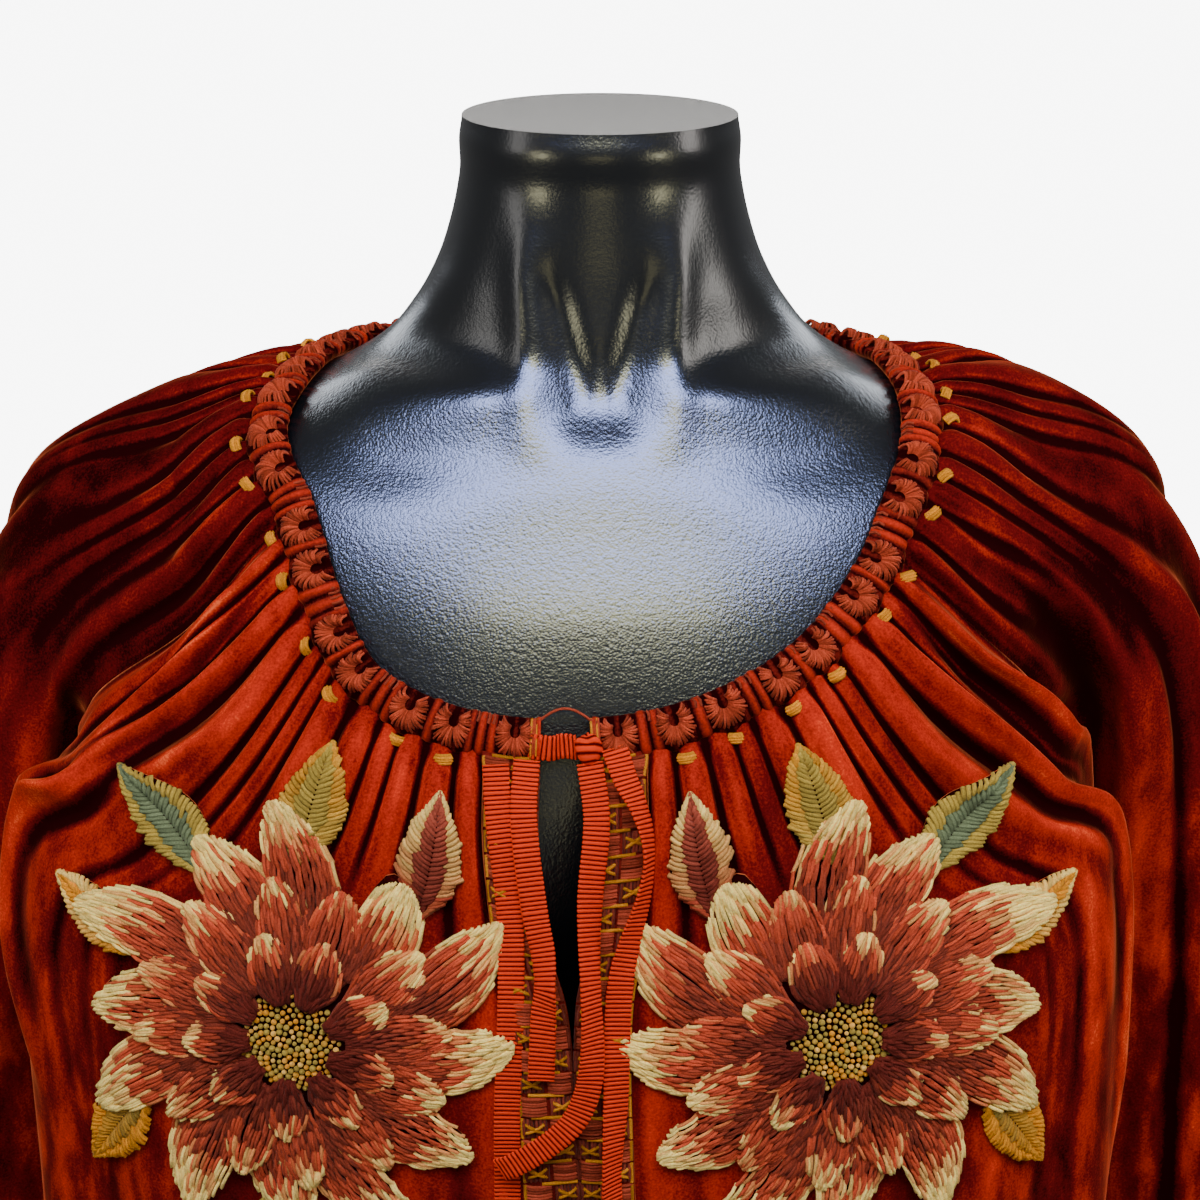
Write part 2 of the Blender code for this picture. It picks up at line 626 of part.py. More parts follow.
def add_form():
    """The torso form, closed by its flat base and the flat top of its neck."""
    turn = np.linspace(0, 2 * math.pi, FORM_SEGMENTS, endpoint=False)
    rings = []
    heights = [level.z for level in FORM_LEVELS] + FORM_EXTRA_HEIGHTS
    for z in sorted(heights):
        share = 2 / form_level("power", z)
        x = form_level("half_width", z) * np.sign(np.cos(turn)) * np.abs(np.cos(turn)) ** share
        lift = np.sign(np.sin(turn)) * np.abs(np.sin(turn)) ** share
        y = np.where(lift < 0, form_front(x, z), form_level("back", z)) * lift + form_level("centre_y", z)
        rings.append(np.stack([x, y, np.full(FORM_SEGMENTS, z)], axis=1))
    faces = []
    for i in range(len(rings) - 1):
        for j in range(FORM_SEGMENTS):
            k = (j + 1) % FORM_SEGMENTS
            low, high = i * FORM_SEGMENTS, (i + 1) * FORM_SEGMENTS
            faces.append([low + j, low + k, high + k, high + j])
    last = (len(rings) - 1) * FORM_SEGMENTS
    faces.append(list(range(FORM_SEGMENTS))[::-1])
    faces.append(list(range(last, last + FORM_SEGMENTS)))
    form = add_object("form_torso", np.concatenate(rings), faces, "form")
    form.data.set_sharp_from_angle(angle=math.radians(FORM_SHARP_ANGLE))


def add_neckband():
    """The gathered band, an open ring whose ends stand at the slit."""
    line, away, down = [], [], []
    for side in (1, -1):
        half = neck_half(side)
        order = slice(None) if side > 0 else slice(-2, None, -1)
        for whole, part in zip((line, away, down), half):
            whole.append(part[order])
    line, away, down = [np.concatenate(parts) for parts in (line, away, down)]
    along = lengths_along(line)
    gap = SLIT_HALF_WIDTHS[0]
    at = np.linspace(gap, along[-1] - gap, 2 * BAND_GATHERS + 1)
    line, away, down = read_at((line, away, down), along, at)
    crest = np.arange(len(at)) % 2
    points = []
    corners = BAND_CORNERS
    for k in range(corners):
        turn = 2 * math.pi * (k + 0.5) / corners
        proud = BAND_HALF_THICKNESS * math.cos(turn)
        lift = BAND_HALF_HEIGHT * math.sin(turn)
        rise = BAND_GATHER_DEPTH * crest * max(math.cos(turn), 0)
        points.append(line + away * (proud + rise)[:, None] - down * lift)
    points = np.stack(points, axis=1)
    count = len(at)
    faces = []
    for i in range(count - 1):
        for j in range(corners):
            k = (j + 1) % corners
            faces.append([i * corners + j, (i + 1) * corners + j, (i + 1) * corners + k, i * corners + k])
    faces.append(list(range(corners)))
    faces.append([(count - 1) * corners + j for j in range(corners)][::-1])
    add_object("neckband", points.reshape(-1, 3), faces, "neckband")


def add_placket(front, side, columns):
    """A stitched band beside the slit, lying on the front panel."""
    last = front.rows.index(PLACKET_END)
    grid, out = front.grid.copy(), front.out
    centre = columns[0] if side > 0 else columns[-1]
    neighbour = centre + side
    inward = unit(grid[:, neighbour] - grid[:, centre])
    grid[:, centre] += inward * SEAM_GAP / 2
    grid[0] += (grid[1] - grid[0]) * PLACKET_TOP_SHARE
    low = (grid + out * THREAD_GAP).reshape(-1, 3)
    high = (grid + out * (THREAD_GAP + PLACKET_THICKNESS)).reshape(-1, 3)
    name = "placket_right" if side > 0 else "placket_left"
    add_wall(name, high, low, front.cells(0, last, columns[0], columns[-1]), "placket")


def tree_of(*names):
    """A search tree over the faces of named objects."""
    points, faces = [], []
    for name in names:
        mesh = bpy.data.objects[name].data
        faces += [[len(points) + index for index in face.vertices] for face in mesh.polygons]
        points += [vertex.co.copy() for vertex in mesh.vertices]
    return BVHTree.FromPolygons(points, faces)


def first_hit(tree, x, z):
    """Where a line from straight in front meets the cloth."""
    place = tree.ray_cast(Vector((x, -0.6, z)), Vector((0, 1, 0)))[0]
    return np.array(place)


def rested(tree, skin, cells):
    """The skin, moved forward where the cloth between its points would come through it."""
    pairs = {tuple(sorted((a, b))) for cell in cells for a in cell for b in cell if a != b}
    for _ in range(3):
        push = np.zeros(len(skin))
        for a, b in pairs:
            for share in (0.25, 0.5, 0.75):
                x, y, z = skin[a] * (1 - share) + skin[b] * share
                lift = y - first_hit(tree, x, z)[1]
                push[a] = max(push[a], lift * (1 - share) * PLATE_PUSH)
                push[b] = max(push[b], lift * share * PLATE_PUSH)
        skin[:, 1] -= push
    return skin


def add_plate(name, tree, centre, rings, relief, facing, finish):
    """A stitched plate on the cloth: a centre point and rings of points, seen from the front."""
    outline = [centre] + [point for ring in rings for point in ring]
    skin = np.array([first_hit(tree, *point) for point in outline])
    count = len(rings[0])
    cells = [[0, 1 + j, 1 + (j + 1) % count] for j in range(count)]
    for i in range(len(rings) - 1):
        for j in range(count):
            k = (j + 1) % count
            near, far = 1 + i * count, 1 + (i + 1) * count
            cells.append([near + j, far + j, far + k, near + k])
    if facing < 0:
        cells = [cell[::-1] for cell in cells]
    skin = rested(tree, skin, cells)
    out = np.zeros_like(skin)
    for cell in cells:
        way = np.cross(skin[cell[1]] - skin[cell[0]], skin[cell[2]] - skin[cell[0]])
        out[cell] += way
    out = unit(out)
    low = skin + out * PLATE_GAP
    high = low + out * (BLOOM_THICKNESS + PETAL_RELIEF * np.asarray(relief))[:, None]
    add_wall(name, high, low, cells, finish)


def add_bloom(tree, side, name):
    """A round bloom of petals with a raised centre."""
    spokes = BLOOM.petals * COLUMNS_PER_PETAL
    x0, z0 = side * BLOOM.across + FRONT_SHIFT, BLOOM.z
    rings, relief = [], [1.0]
    for share, rise in zip(BLOOM_RING_SHARES, BLOOM_RING_RELIEF):
        ring = []
        for j in range(spokes):
            turn = 2 * math.pi * j / spokes
            valley = j % COLUMNS_PER_PETAL == 0
            radius = BLOOM.radius * share * (1 - (BLOOM.lobe if valley and share > 0.5 else 0))
            ring.append((x0 + side * radius * math.sin(turn), z0 + radius * math.cos(turn)))
            relief.append(rise * (BLOOM_VALLEY_RELIEF if valley and share > 0.2 else 1.0))
        rings.append(ring)
    add_plate(name, tree, (x0, z0), rings, relief, -side, "bloom")


def add_leaf(tree, side, leaf, name):
    """A pointed leaf with a raised middle, beside a bloom."""
    root_turn, lean = math.radians(leaf.direction), math.radians(leaf.lean)
    root = np.array([math.cos(root_turn), math.sin(root_turn)]) * (BLOOM.radius + LEAF_ROOT_GAP)
    way, across = np.array([math.cos(lean), math.sin(lean)]), np.array([-math.sin(lean), math.cos(lean)])
    place = np.array([side, 1.0])
    home = np.array([side * BLOOM.across + FRONT_SHIFT, BLOOM.z])
    ring = []
    for k in range(LEAF_STATIONS * 2):
        turn = 2 * math.pi * (k + 0.5) / (LEAF_STATIONS * 2)
        along = leaf.length * (0.5 - 0.5 * math.cos(turn))
        spread = leaf.width / 2 * math.sin(turn) * (0.75 + 0.25 * math.cos(turn))
        ring.append((home + place * (root + way * along + across * spread)).tolist())
    centre = (home + place * (root + way * leaf.length * 0.45)).tolist()
    add_plate(name, tree, centre, [ring], [1.0] + [0.0] * len(ring), -side, "leaf")


def add_ribbon(name, stations, tree):
    """A flat tie ribbon that hangs in front of the cloth."""
    table = np.array(stations)
    at = np.linspace(0, len(table) - 1, 3 * (len(table) - 1) + 1)
    x, off, z, turn = smooth(np.arange(len(table)), table, at).T
    x = x + FRONT_SHIFT
    nearest = []
    for place_x, place_z in zip(x, z):
        hits = [
            first_hit(tree, place_x + across, place_z + up)[1]
            for across in (-RIBBON_WIDTH / 2, 0, RIBBON_WIDTH / 2)
            for up in (-0.005, 0, 0.005)
        ]
        nearest.append(min(hits))
    nearest = np.array(nearest)
    soft = np.convolve(np.pad(nearest, 1, mode="edge"), [0.25, 0.5, 0.25], mode="valid")
    lean = np.abs(np.sin(np.radians(turn))) * RIBBON_WIDTH / 2
    y = np.minimum(soft, nearest) - off - lean - RIBBON_THICKNESS / 2
    path = np.stack([x, y, z], axis=1)
    along = unit(np.gradient(path, axis=0))
    turn = np.radians(turn)
    facing = np.stack([np.sin(turn), -np.cos(turn), np.zeros(len(turn))], axis=1)
    facing = unit(facing - along * np.sum(facing * along, axis=1, keepdims=True))
    across = np.cross(along, facing)
    corners = []
    for wide, deep in ((1, 1), (-1, 1), (-1, -1), (1, -1)):
        corners.append(path + across * wide * RIBBON_WIDTH / 2 + facing * deep * RIBBON_THICKNESS / 2)
    points = np.stack(corners, axis=1).reshape(-1, 3)
    faces = [
        [i * 4 + j, (i + 1) * 4 + j, (i + 1) * 4 + (j + 1) % 4, i * 4 + (j + 1) % 4]
        for i in range(len(path) - 1)
        for j in range(4)
    ]
    faces += [[0, 1, 2, 3], [len(points) - 1 - j for j in range(4)]]
    add_object(name, points, faces, "ribbon")


def add_knot(tree):
    """The knot that the ties hang from, a small round body over the top of the slit."""
    across, off, z = KNOT_PLACE
    x = across + FRONT_SHIFT
    wide, deep, tall = KNOT_HALF_SIZE
    near = [first_hit(tree, x + wide * i, z + tall * j)[1] for i in (-1, 0, 1) for j in (-1, 0, 1)]
    y = min(near) - off - deep
    shape = bmesh.new()
    bmesh.ops.create_uvsphere(shape, u_segments=KNOT_SEGMENTS, v_segments=KNOT_RINGS, radius=1)
    bmesh.ops.scale(shape, vec=KNOT_HALF_SIZE, verts=shape.verts)
    bmesh.ops.translate(shape, vec=(x, y, z), verts=shape.verts)
    points = [tuple(vertex.co) for vertex in shape.verts]
    faces = [[vertex.index for vertex in face.verts] for face in shape.faces]
    shape.free()
    add_object("ribbon_knot", points, faces, "ribbon")


def front_panel(halves):
    """The front, with the slit's two edges as its middle columns."""
    at = half_columns(RAGLAN_FRONT, SLIT_HALF_WIDTHS[0])
    aways = {}
    for side in (1, -1):
        line, away, _ = neck_half(side)
        along = lengths_along(line)
        aways[side] = read_at([away], along, at)[0]
    keys = np.concatenate([halves[-1][:, ::-1], halves[1]], axis=1)
    away = np.concatenate([aways[-1][::-1], aways[1]])
    return Panel("front", keys, YOKE_ROWS + BODY_ROWS, 1, away)


def back_panel(keys):
    """The back, which runs from the right seam to the left one."""
    aways = []
    for side in (1, -1):
        whole = neck_length(side)
        away = neck_edge(side, whole - RAGLAN_BACK, whole, 100)[1]
        aways.append(away if side > 0 else away[::-1][1:])
    away = evenly(np.concatenate(aways), BACK_COLUMNS)
    return Panel("back", keys, YOKE_ROWS + BODY_ROWS, 1, away)


def sleeve_panel(side, front_seam, back_seam):
    """One sleeve, a raglan cap above the underarm and a tube below it."""
    name = "sleeve_right" if side > 0 else "sleeve_left"
    keys = sleeve_keys(side, front_seam, back_seam)
    end = neck_length(side) - RAGLAN_BACK
    away = neck_edge(side, RAGLAN_FRONT, end, SLEEVE_COLUMNS + 1)[1]
    return Panel(name, keys, YOKE_ROWS + SLEEVE_ROWS, side, away)


def sew_up(front, back, sleeves):
    """Brings the panels together at every seam, then parts them there by the seam gap."""
    raglan = slice(0, len(YOKE_ROWS))
    below = slice(len(YOKE_ROWS) - 1, None)
    seams = []
    for side, sleeve in sleeves.items():
        front_column = -1 if side > 0 else 0
        back_column = 0 if side > 0 else -1
        seams.append((front, front_column, back, back_column, below))
        seams.append((front, front_column, sleeve, 0, raglan))
        seams.append((back, back_column, sleeve, -1, raglan))
        seams.append((sleeve, 0, sleeve, -1, below))
    for seam in seams:
        join(*seam)
    for panel in (front, back, *sleeves.values()):
        panel.face_out()
    moves = []
    for seam in seams:
        sew(*seam, moves)
    for panel, rows, column, move in moves:
        panel.grid[rows, column] += move


def slit_cells(front):
    """The front's faces, open along the slit and closed below it."""
    width = front.grid.shape[1]
    left, right = FRONT_HALF_COLUMNS, FRONT_HALF_COLUMNS + 1
    end = front.rows.index(SLIT_ROW)
    closed = (front.grid[end:, left] + front.grid[end:, right]) / 2
    front.grid[end:, left] = front.grid[end:, right] = closed
    cells = []
    for cell in front.cells():
        if min(index % width for index in cell) == left:
            continue
        cells.append(
            [index - 1 if index % width == right and index // width >= end else index for index in cell]
        )
    return cells


def add_trimmings(front):
    """The stitched bands, blooms and leaves on the front, and the ribbons that hang before it."""
    left = FRONT_HALF_COLUMNS
    add_placket(front, -1, range(left - PLACKET_COLUMNS, left + 1))
    add_placket(front, 1, range(left + 1, left + 2 + PLACKET_COLUMNS))
    cloth = tree_of("front")
    for side, hand in ((-1, "left"), (1, "right")):
        add_bloom(cloth, side, "bloom_" + hand)
        for leaf in LEAVES:
            add_leaf(cloth, side, leaf, "leaf_" + leaf.name + "_" + hand)
    behind = ["form_torso", "neckband", "front", "placket_left", "placket_right"]
    cloth = tree_of(*behind, "bloom_left", "bloom_right")
    for name, stations in RIBBONS.items():
        add_ribbon(name, stations, cloth)
    add_knot(cloth)


def main():
    for old in list(bpy.data.objects):
        bpy.data.objects.remove(old)
    add_form()
    add_neckband()

    halves = {side: front_keys(side) for side in (1, -1)}
    front = front_panel(halves)
    front_seams = {side: keys[:, -1] for side, keys in halves.items()}
    keys = back_keys(front_seams)
    back = back_panel(keys)
    back_seams = {1: keys[:, 0], -1: keys[:, -1]}
    sleeves = {side: sleeve_panel(side, front_seams[side], back_seams[side]) for side in (1, -1)}
    sew_up(front, back, sleeves)

    half = crests(FRONT_HALF_COLUMNS, PLACKET_COLUMNS)
    front.ruffle(np.concatenate([half[::-1], half]), FRONT_FOLDS)
    back.ruffle(crests(BACK_COLUMNS), BACK_FOLDS)
    for sleeve in sleeves.values():
        sleeve.ruffle(crests(SLEEVE_COLUMNS), SLEEVE_FOLDS)

    add_panel(front, slit_cells(front))
    for panel in (back, *sleeves.values()):
        add_panel(panel, panel.cells())
    add_trimmings(front)


main()
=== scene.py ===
"""The looks of a gathered velvet tunic with embroidered blooms, worn on a glossy torso form.

Metres, +Z up, and the front faces -Y. The cloth follows the same sections as its solids, at a
finer pitch, with finger pleats below the neckband and listed creases.
"""

import logging
import math
from dataclasses import dataclass, field
from enum import Enum
from typing import NamedTuple

import bpy
import numpy as np
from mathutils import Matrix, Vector
from mathutils.bvhtree import BVHTree


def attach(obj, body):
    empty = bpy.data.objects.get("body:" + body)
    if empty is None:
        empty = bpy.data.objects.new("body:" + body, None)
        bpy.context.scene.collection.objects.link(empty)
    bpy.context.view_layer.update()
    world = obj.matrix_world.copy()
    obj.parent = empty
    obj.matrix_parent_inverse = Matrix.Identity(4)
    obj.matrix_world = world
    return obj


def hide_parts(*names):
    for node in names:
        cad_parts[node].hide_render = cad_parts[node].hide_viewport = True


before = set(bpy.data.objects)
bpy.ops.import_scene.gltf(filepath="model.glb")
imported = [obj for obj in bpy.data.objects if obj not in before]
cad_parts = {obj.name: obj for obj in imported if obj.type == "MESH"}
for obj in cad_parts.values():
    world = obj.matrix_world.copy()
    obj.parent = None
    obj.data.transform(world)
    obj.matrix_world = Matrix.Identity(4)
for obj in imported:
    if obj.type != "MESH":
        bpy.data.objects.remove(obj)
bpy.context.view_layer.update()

LOG = logging.getLogger("tunic")

Array = np.ndarray
Colour = tuple[float, float, float]
Place = tuple[float, float, float]
Faces = list[list[int]]
Finish = bpy.types.Material
Piece = bpy.types.Object
Socket = bpy.types.NodeSocket


class Side(Enum):
    """The viewer's left or right of the slit, as the sign of x."""

    LEFT = -1
    RIGHT = 1

    @property
    def word(self) -> str:
        """The side's word in a piece's name."""
        return self.name.lower()


# Sizes that several pieces share
FRONT_SHIFT = -0.013
SEAM_GAP = 0.00034
SEED = 7


def smooth(stations: Array, values: Array, at: Array) -> Array:
    """Reads values between stations, on a smooth cubic curve through all of them.

    Args:
        stations: Rising positions.
        values: One value or array for each station.
        at: The positions to read.

    Returns:
        The values there.
    """
    stations, values = np.asarray(stations, float), np.asarray(values, float)
    slopes = np.gradient(values, stations, axis=0)
    at = np.clip(np.asarray(at, float), stations[0], stations[-1])
    i = np.clip(np.searchsorted(stations, at) - 1, 0, len(stations) - 2)
    step = stations[i + 1] - stations[i]
    t = (at - stations[i]) / step
    if values.ndim > 1:
        spread = (...,) + (None,) * (values.ndim - 1)
        t, step = t[spread], step[spread]
    return (
        (2 * t**3 - 3 * t**2 + 1) * values[i]
        + (t**3 - 2 * t**2 + t) * step * slopes[i]
        + (3 * t**2 - 2 * t**3) * values[i + 1]
        + (t**3 - t**2) * step * slopes[i + 1]
    )


def hump(value: Array, centre: float, width: float) -> Array:
    """A soft rise to 1 at centre, gone about two widths away."""
    return np.exp(-(((value - centre) / width) ** 2))


def ease(value: Array) -> Array:
    """0 below 0 and 1 above 1, with a smooth step between."""
    t = np.clip(value, 0, 1)
    return t * t * (3 - 2 * t)


def unit(vectors: Array) -> Array:
    """The vectors at length 1."""
    return vectors / np.maximum(np.linalg.norm(vectors, axis=-1, keepdims=True), 1e-12)


def lengths_along(line: Array) -> Array:
    """The distance of each point of a line from its start, along it."""
    steps = np.linalg.norm(np.diff(line, axis=0), axis=1)
    return np.concatenate([[0], np.cumsum(steps)])


def read_at(tables: list[Array], along: Array, at: Array) -> list[Array]:
    """Reads rows of several tables between their places.

    Args:
        tables: Tables with one row for each value of along.
        along: Rising positions of the rows.
        at: The positions to read.

    Returns:
        One table of rows for each table given.
    """
    return [
        np.stack([np.interp(at, along, table[:, k]) for k in range(table.shape[1])], axis=1)
        for table in tables
    ]


def at_shares(line: Array, shares: Array) -> Array:
    """Points at these shares of a line's length."""
    along = lengths_along(line)
    return read_at([line], along, shares * along[-1])[0]


def used_points(faces: Faces) -> Array:
    """The numbers of the points that faces use, in order."""
    return np.unique(np.concatenate([np.asarray(face) for face in faces]))


def mesh_piece(name: str, points: Array, faces: Faces, material: Finish) -> Piece:
    """Makes a smooth-shaded mesh at the origin, without the points that no face uses.

    Args:
        name: The piece's name.
        points: All points.
        faces: Faces as lists of point numbers, facing out.
        material: The finish.

    Returns:
        The new object.
    """
    used = used_points(faces)
    place = np.full(len(points), -1)
    place[used] = np.arange(len(used))
    mesh = bpy.data.meshes.new(name)
    mesh.from_pydata(points[used].tolist(), [], [place[face].tolist() for face in faces])
    mesh.materials.append(material)
    mesh.shade_smooth()
    piece = bpy.data.objects.new(name, mesh)
    bpy.context.scene.collection.objects.link(piece)
    return piece


def paint(piece: Piece, name: str, values: Array) -> None:
    """Stores one number for each point of a piece, for its finish to read."""
    attribute = piece.data.attributes.new(name, "FLOAT", "POINT")
    attribute.data.foreach_set("value", np.asarray(values, np.float32).ravel())


def grid_faces(rows: int, columns: int, facing: int = 1, closed: bool = False) -> Faces:
    """Four-sided faces over a grid of points.

    Args:
        rows: Rows of points.
        columns: Columns of points.
        facing: 1 or -1, which way round each face goes.
        closed: Whether the last column joins the first.

    Returns:
        The faces.
    """
    across = columns if closed else columns - 1
    i, j = np.meshgrid(np.arange(rows - 1), np.arange(across), indexing="ij")
    k = (j + 1) % columns
    corners = [i * columns + j, (i + 1) * columns + j, (i + 1) * columns + k, i * columns + k]
    cells = np.stack(corners, axis=-1).reshape(-1, 4)
    return (cells if facing > 0 else cells[:, ::-1]).tolist()


def tube_faces(rings: int, sides: int) -> Faces:
    """Faces of a tube over rings of points, with both ends closed."""
    ends = [list(range(sides)), list(range((rings - 1) * sides, rings * sides))[::-1]]
    return grid_faces(rings, sides, closed=True) + ends


def pole_faces(rows: int, columns: int, facing: int, top: bool = True) -> Faces:
    """Faces round a grid whose first row, and last one where top is set, lies on one point."""
    tip = (rows - 1) * columns if top else rows * columns
    cells = grid_faces(rows, columns, facing, closed=True)
    merged = [[0 if i < columns else min(i, tip) for i in cell] for cell in cells]
    return [list(dict.fromkeys(cell)) for cell in merged]


def wall_faces(cells: Faces, count: int) -> Faces:
    """Closes two skins with the same cells into one wall.

    Args:
        cells: The outer skin's faces.
        count: How many points the outer skin has; the inner skin's follow them.

    Returns:
        The faces of both skins and of the rim along every open edge.
    """
    edges = {(cell[k - 1], cell[k]) for cell in cells for k in range(len(cell))}
    rims = [[b, a, a + count, b + count] for a, b in sorted(edges) if (b, a) not in edges]
    return cells + [[index + count for index in cell[::-1]] for cell in cells] + rims


def wall_piece(name: str, outer: Array, inner: Array, cells: Faces, finish: Finish) -> Piece:
    """Makes a closed wall between two grids of points that share their faces."""
    points = np.concatenate([outer.reshape(-1, 3), inner.reshape(-1, 3)])
    return mesh_piece(name, points, wall_faces(cells, len(points) // 2), finish)


# Finishes


class Nodes:
    """A short way to build a node tree."""

    def __init__(self, name: str) -> None:
        """Starts a material with its shader.

        Args:
            name: The material's name.
        """
        self.material = bpy.data.materials.new(name)
        self.material.use_nodes = True
        self.tree = self.material.node_tree
        self.shader = self.tree.nodes["Principled BSDF"]

    def add(self, kind: str, inputs: dict | None = None, **settings: object) -> bpy.types.Node:
        """Adds a node.

        Args:
            kind: The node's type.
            inputs: Values or sockets by input name or number.
            **settings: Properties of the node.

        Returns:
            The node.
        """
        node = self.tree.nodes.new(kind)
        for key, value in settings.items():
            setattr(node, key, value)
        for key, value in (inputs or {}).items():
            self.put(node, key, value)
        return node

    def put(self, node: bpy.types.Node, key: str | int, value: object) -> None:
        """Sets an input to a value, or links a socket to it."""
        if isinstance(value, Socket):
            self.tree.links.new(value, node.inputs[key])
        else:
            node.inputs[key].default_value = value

    def place(self) -> Socket:
        """Where each point of the surface lies."""
        return self.add("ShaderNodeTexCoord").outputs["Object"]

    def painted(self, name: str, output: str = "Fac") -> Socket:
        """A value or colour that is painted on the points."""
        return self.add("ShaderNodeAttribute", attribute_name=name).outputs[output]

    def swing(self, value: Socket, gain: object) -> Socket:
        """A value from 0 to 1 as a swing about nothing, this strong."""
        return self.sum("MULTIPLY", self.sum("SUBTRACT", value, 0.5), gain)

    def noise(self, vector: Socket, scale: float, detail: float, warp: float = 0.0) -> Socket:
        """Noise from 0 to 1, spread about its middle."""
        inputs = {"Vector": vector, "Scale": scale, "Detail": detail, "Distortion": warp}
        return self.add("ShaderNodeTexNoise", inputs).outputs["Fac"]

    def ramp(self, value: Socket, stops: list[tuple[float, Colour]]) -> Socket:
        """Colours read from a value along a few stops."""
        node = self.add("ShaderNodeValToRGB", {"Fac": value})
        elements = node.color_ramp.elements
        while len(elements) < len(stops):
            elements.new(0.5)
        for element, (place, colour) in zip(elements, stops):
            element.position = place
            element.color = (*colour, 1)
        return node.outputs["Color"]

    def sum(self, kind: str, first: object, second: object) -> Socket:
        """One step of arithmetic on two numbers."""
        return self.add("ShaderNodeMath", {0: first, 1: second}, operation=kind).outputs[0]

    def mix(self, share: object, first: object, second: object, blend: str = "MIX") -> Socket:
        """A mix of two colours."""
        node = self.add("ShaderNodeMix", data_type="RGBA", blend_type=blend)
        self.put(node, 0, share)
        for place, value in ((6, first), (7, second)):
            self.put(node, place, value if isinstance(value, Socket) else (*value, 1))
        return node.outputs[2]

    def bump(self, height: Socket, strength: float, distance: float) -> None:
        """Raises the shader's surface by a height."""
        inputs = {"Height": height, "Strength": strength, "Distance": distance}
        self.put(self.shader, "Normal", self.add("ShaderNodeBump", inputs).outputs["Normal"])

    def set(self, **values: object) -> None:
        """Sets the shader's own sockets, named with _ for each space."""
        for key, value in values.items():
            self.put(self.shader, key.replace("_", " "), value)


@dataclass(frozen=True)
class Velvet:
    """Crushed velvet: painted shade in its hollows and painted highlights along its folds, over the crushed
    pile's own light and dark patches.
    """

    deep: Colour = (0.0180, 0.0013, 0.0020)
    body: Colour = (0.1650, 0.0072, 0.0092)
    lit: Colour = (0.6600, 0.0380, 0.0130)
    glint: Colour = (0.9400, 0.1400, 0.0380)
    sheen_tint: Colour = (1.0, 0.22, 0.08)
    crush_scale: float = 24.0
    pile_scale: float = 1100.0

    def material(self, name: str = "crushed_velvet") -> Finish:
        """Builds the finish from the painted shading on the points (painted highlight high on a fold's
        crest, painted shade low in its hollows) and from their crushing.
        """
        nodes = Nodes(name)
        place = nodes.place()
        drawn = nodes.add("ShaderNodeMapping", {"Vector": place, "Scale": (1.0, 1.0, 0.34)})
        crush = nodes.noise(drawn.outputs[0], self.crush_scale, 5.0, 0.4)
        marks = nodes.noise(drawn.outputs[0], self.crush_scale * 3.6, 7.0, 0.25)
        pile = nodes.noise(place, self.pile_scale, 2.0)
        gain = nodes.sum("ADD", nodes.sum("MULTIPLY", nodes.painted("crushed"), 0.9), 0.50)
        value = nodes.swing(crush, 0.58)
        for part in (nodes.swing(marks, gain), nodes.swing(pile, 0.55), nodes.painted("nap")):
            value = nodes.sum("ADD", value, part)
        # deep is painted shade and lit and glint are painted highlights, read from the painted shading; the
        # crush marks run through the same stops as the pile's own light and dark patches.
        stops = [(0.08, self.deep), (0.44, self.body), (0.82, self.lit), (1.0, self.glint)]
        colour = nodes.ramp(value, stops)
        height = nodes.sum("ADD", marks, nodes.sum("MULTIPLY", pile, 0.16))
        nodes.set(Base_Color=colour, Roughness=0.60, Sheen_Weight=0.95, Sheen_Roughness=0.24)
        nodes.set(Sheen_Tint=(*self.sheen_tint, 1), Specular_IOR_Level=0.0)
        nodes.bump(height, 0.40, 0.0016)
        return nodes.material


@dataclass(frozen=True)
class Thread:
    """Wool-like embroidery thread, whose colour is painted on its points."""

    twist_scale: float = 1500.0

    def material(self, name: str) -> Finish:
        """Builds the finish from the point colour thread_colour."""
        nodes = Nodes(name)
        place = nodes.place()
        colour = nodes.painted("thread_colour", "Color")
        fuzz = nodes.noise(place, self.twist_scale, 2.0)
        shade = nodes.ramp(fuzz, [(0.25, (0.80, 0.80, 0.80)), (0.75, (1.42, 1.42, 1.42))])
        nodes.set(Base_Color=nodes.mix(1.0, colour, shade, "MULTIPLY"), Roughness=0.66)
        nodes.set(Sheen_Weight=0.06, Sheen_Roughness=0.4, Specular_IOR_Level=0.0)
        nodes.bump(fuzz, 0.5, 0.0004)
        return nodes.material


@dataclass(frozen=True)
class Grosgrain:
    """Ribbed ribbon, with painted shade between its ribs."""

    rib: Colour = (0.86, 0.052, 0.012)
    groove: Colour = (0.07, 0.003, 0.003)

    def material(self, name: str = "grosgrain") -> Finish:
        """Builds the finish; it reads the point attribute rib, high on a rib's crest, and paints shade in
        the grooves where it is low.
        """
        nodes = Nodes(name)
        place = nodes.place()
        fuzz = nodes.noise(place, 2600.0, 2.0)
        value = nodes.sum("ADD", nodes.painted("rib"), nodes.swing(fuzz, 0.35))
        colour = nodes.ramp(value, [(0.10, self.groove), (0.55, self.rib)])
        nodes.set(Base_Color=colour, Roughness=0.55, Specular_IOR_Level=0.0)
        nodes.bump(fuzz, 0.25, 0.0003)
        return nodes.material


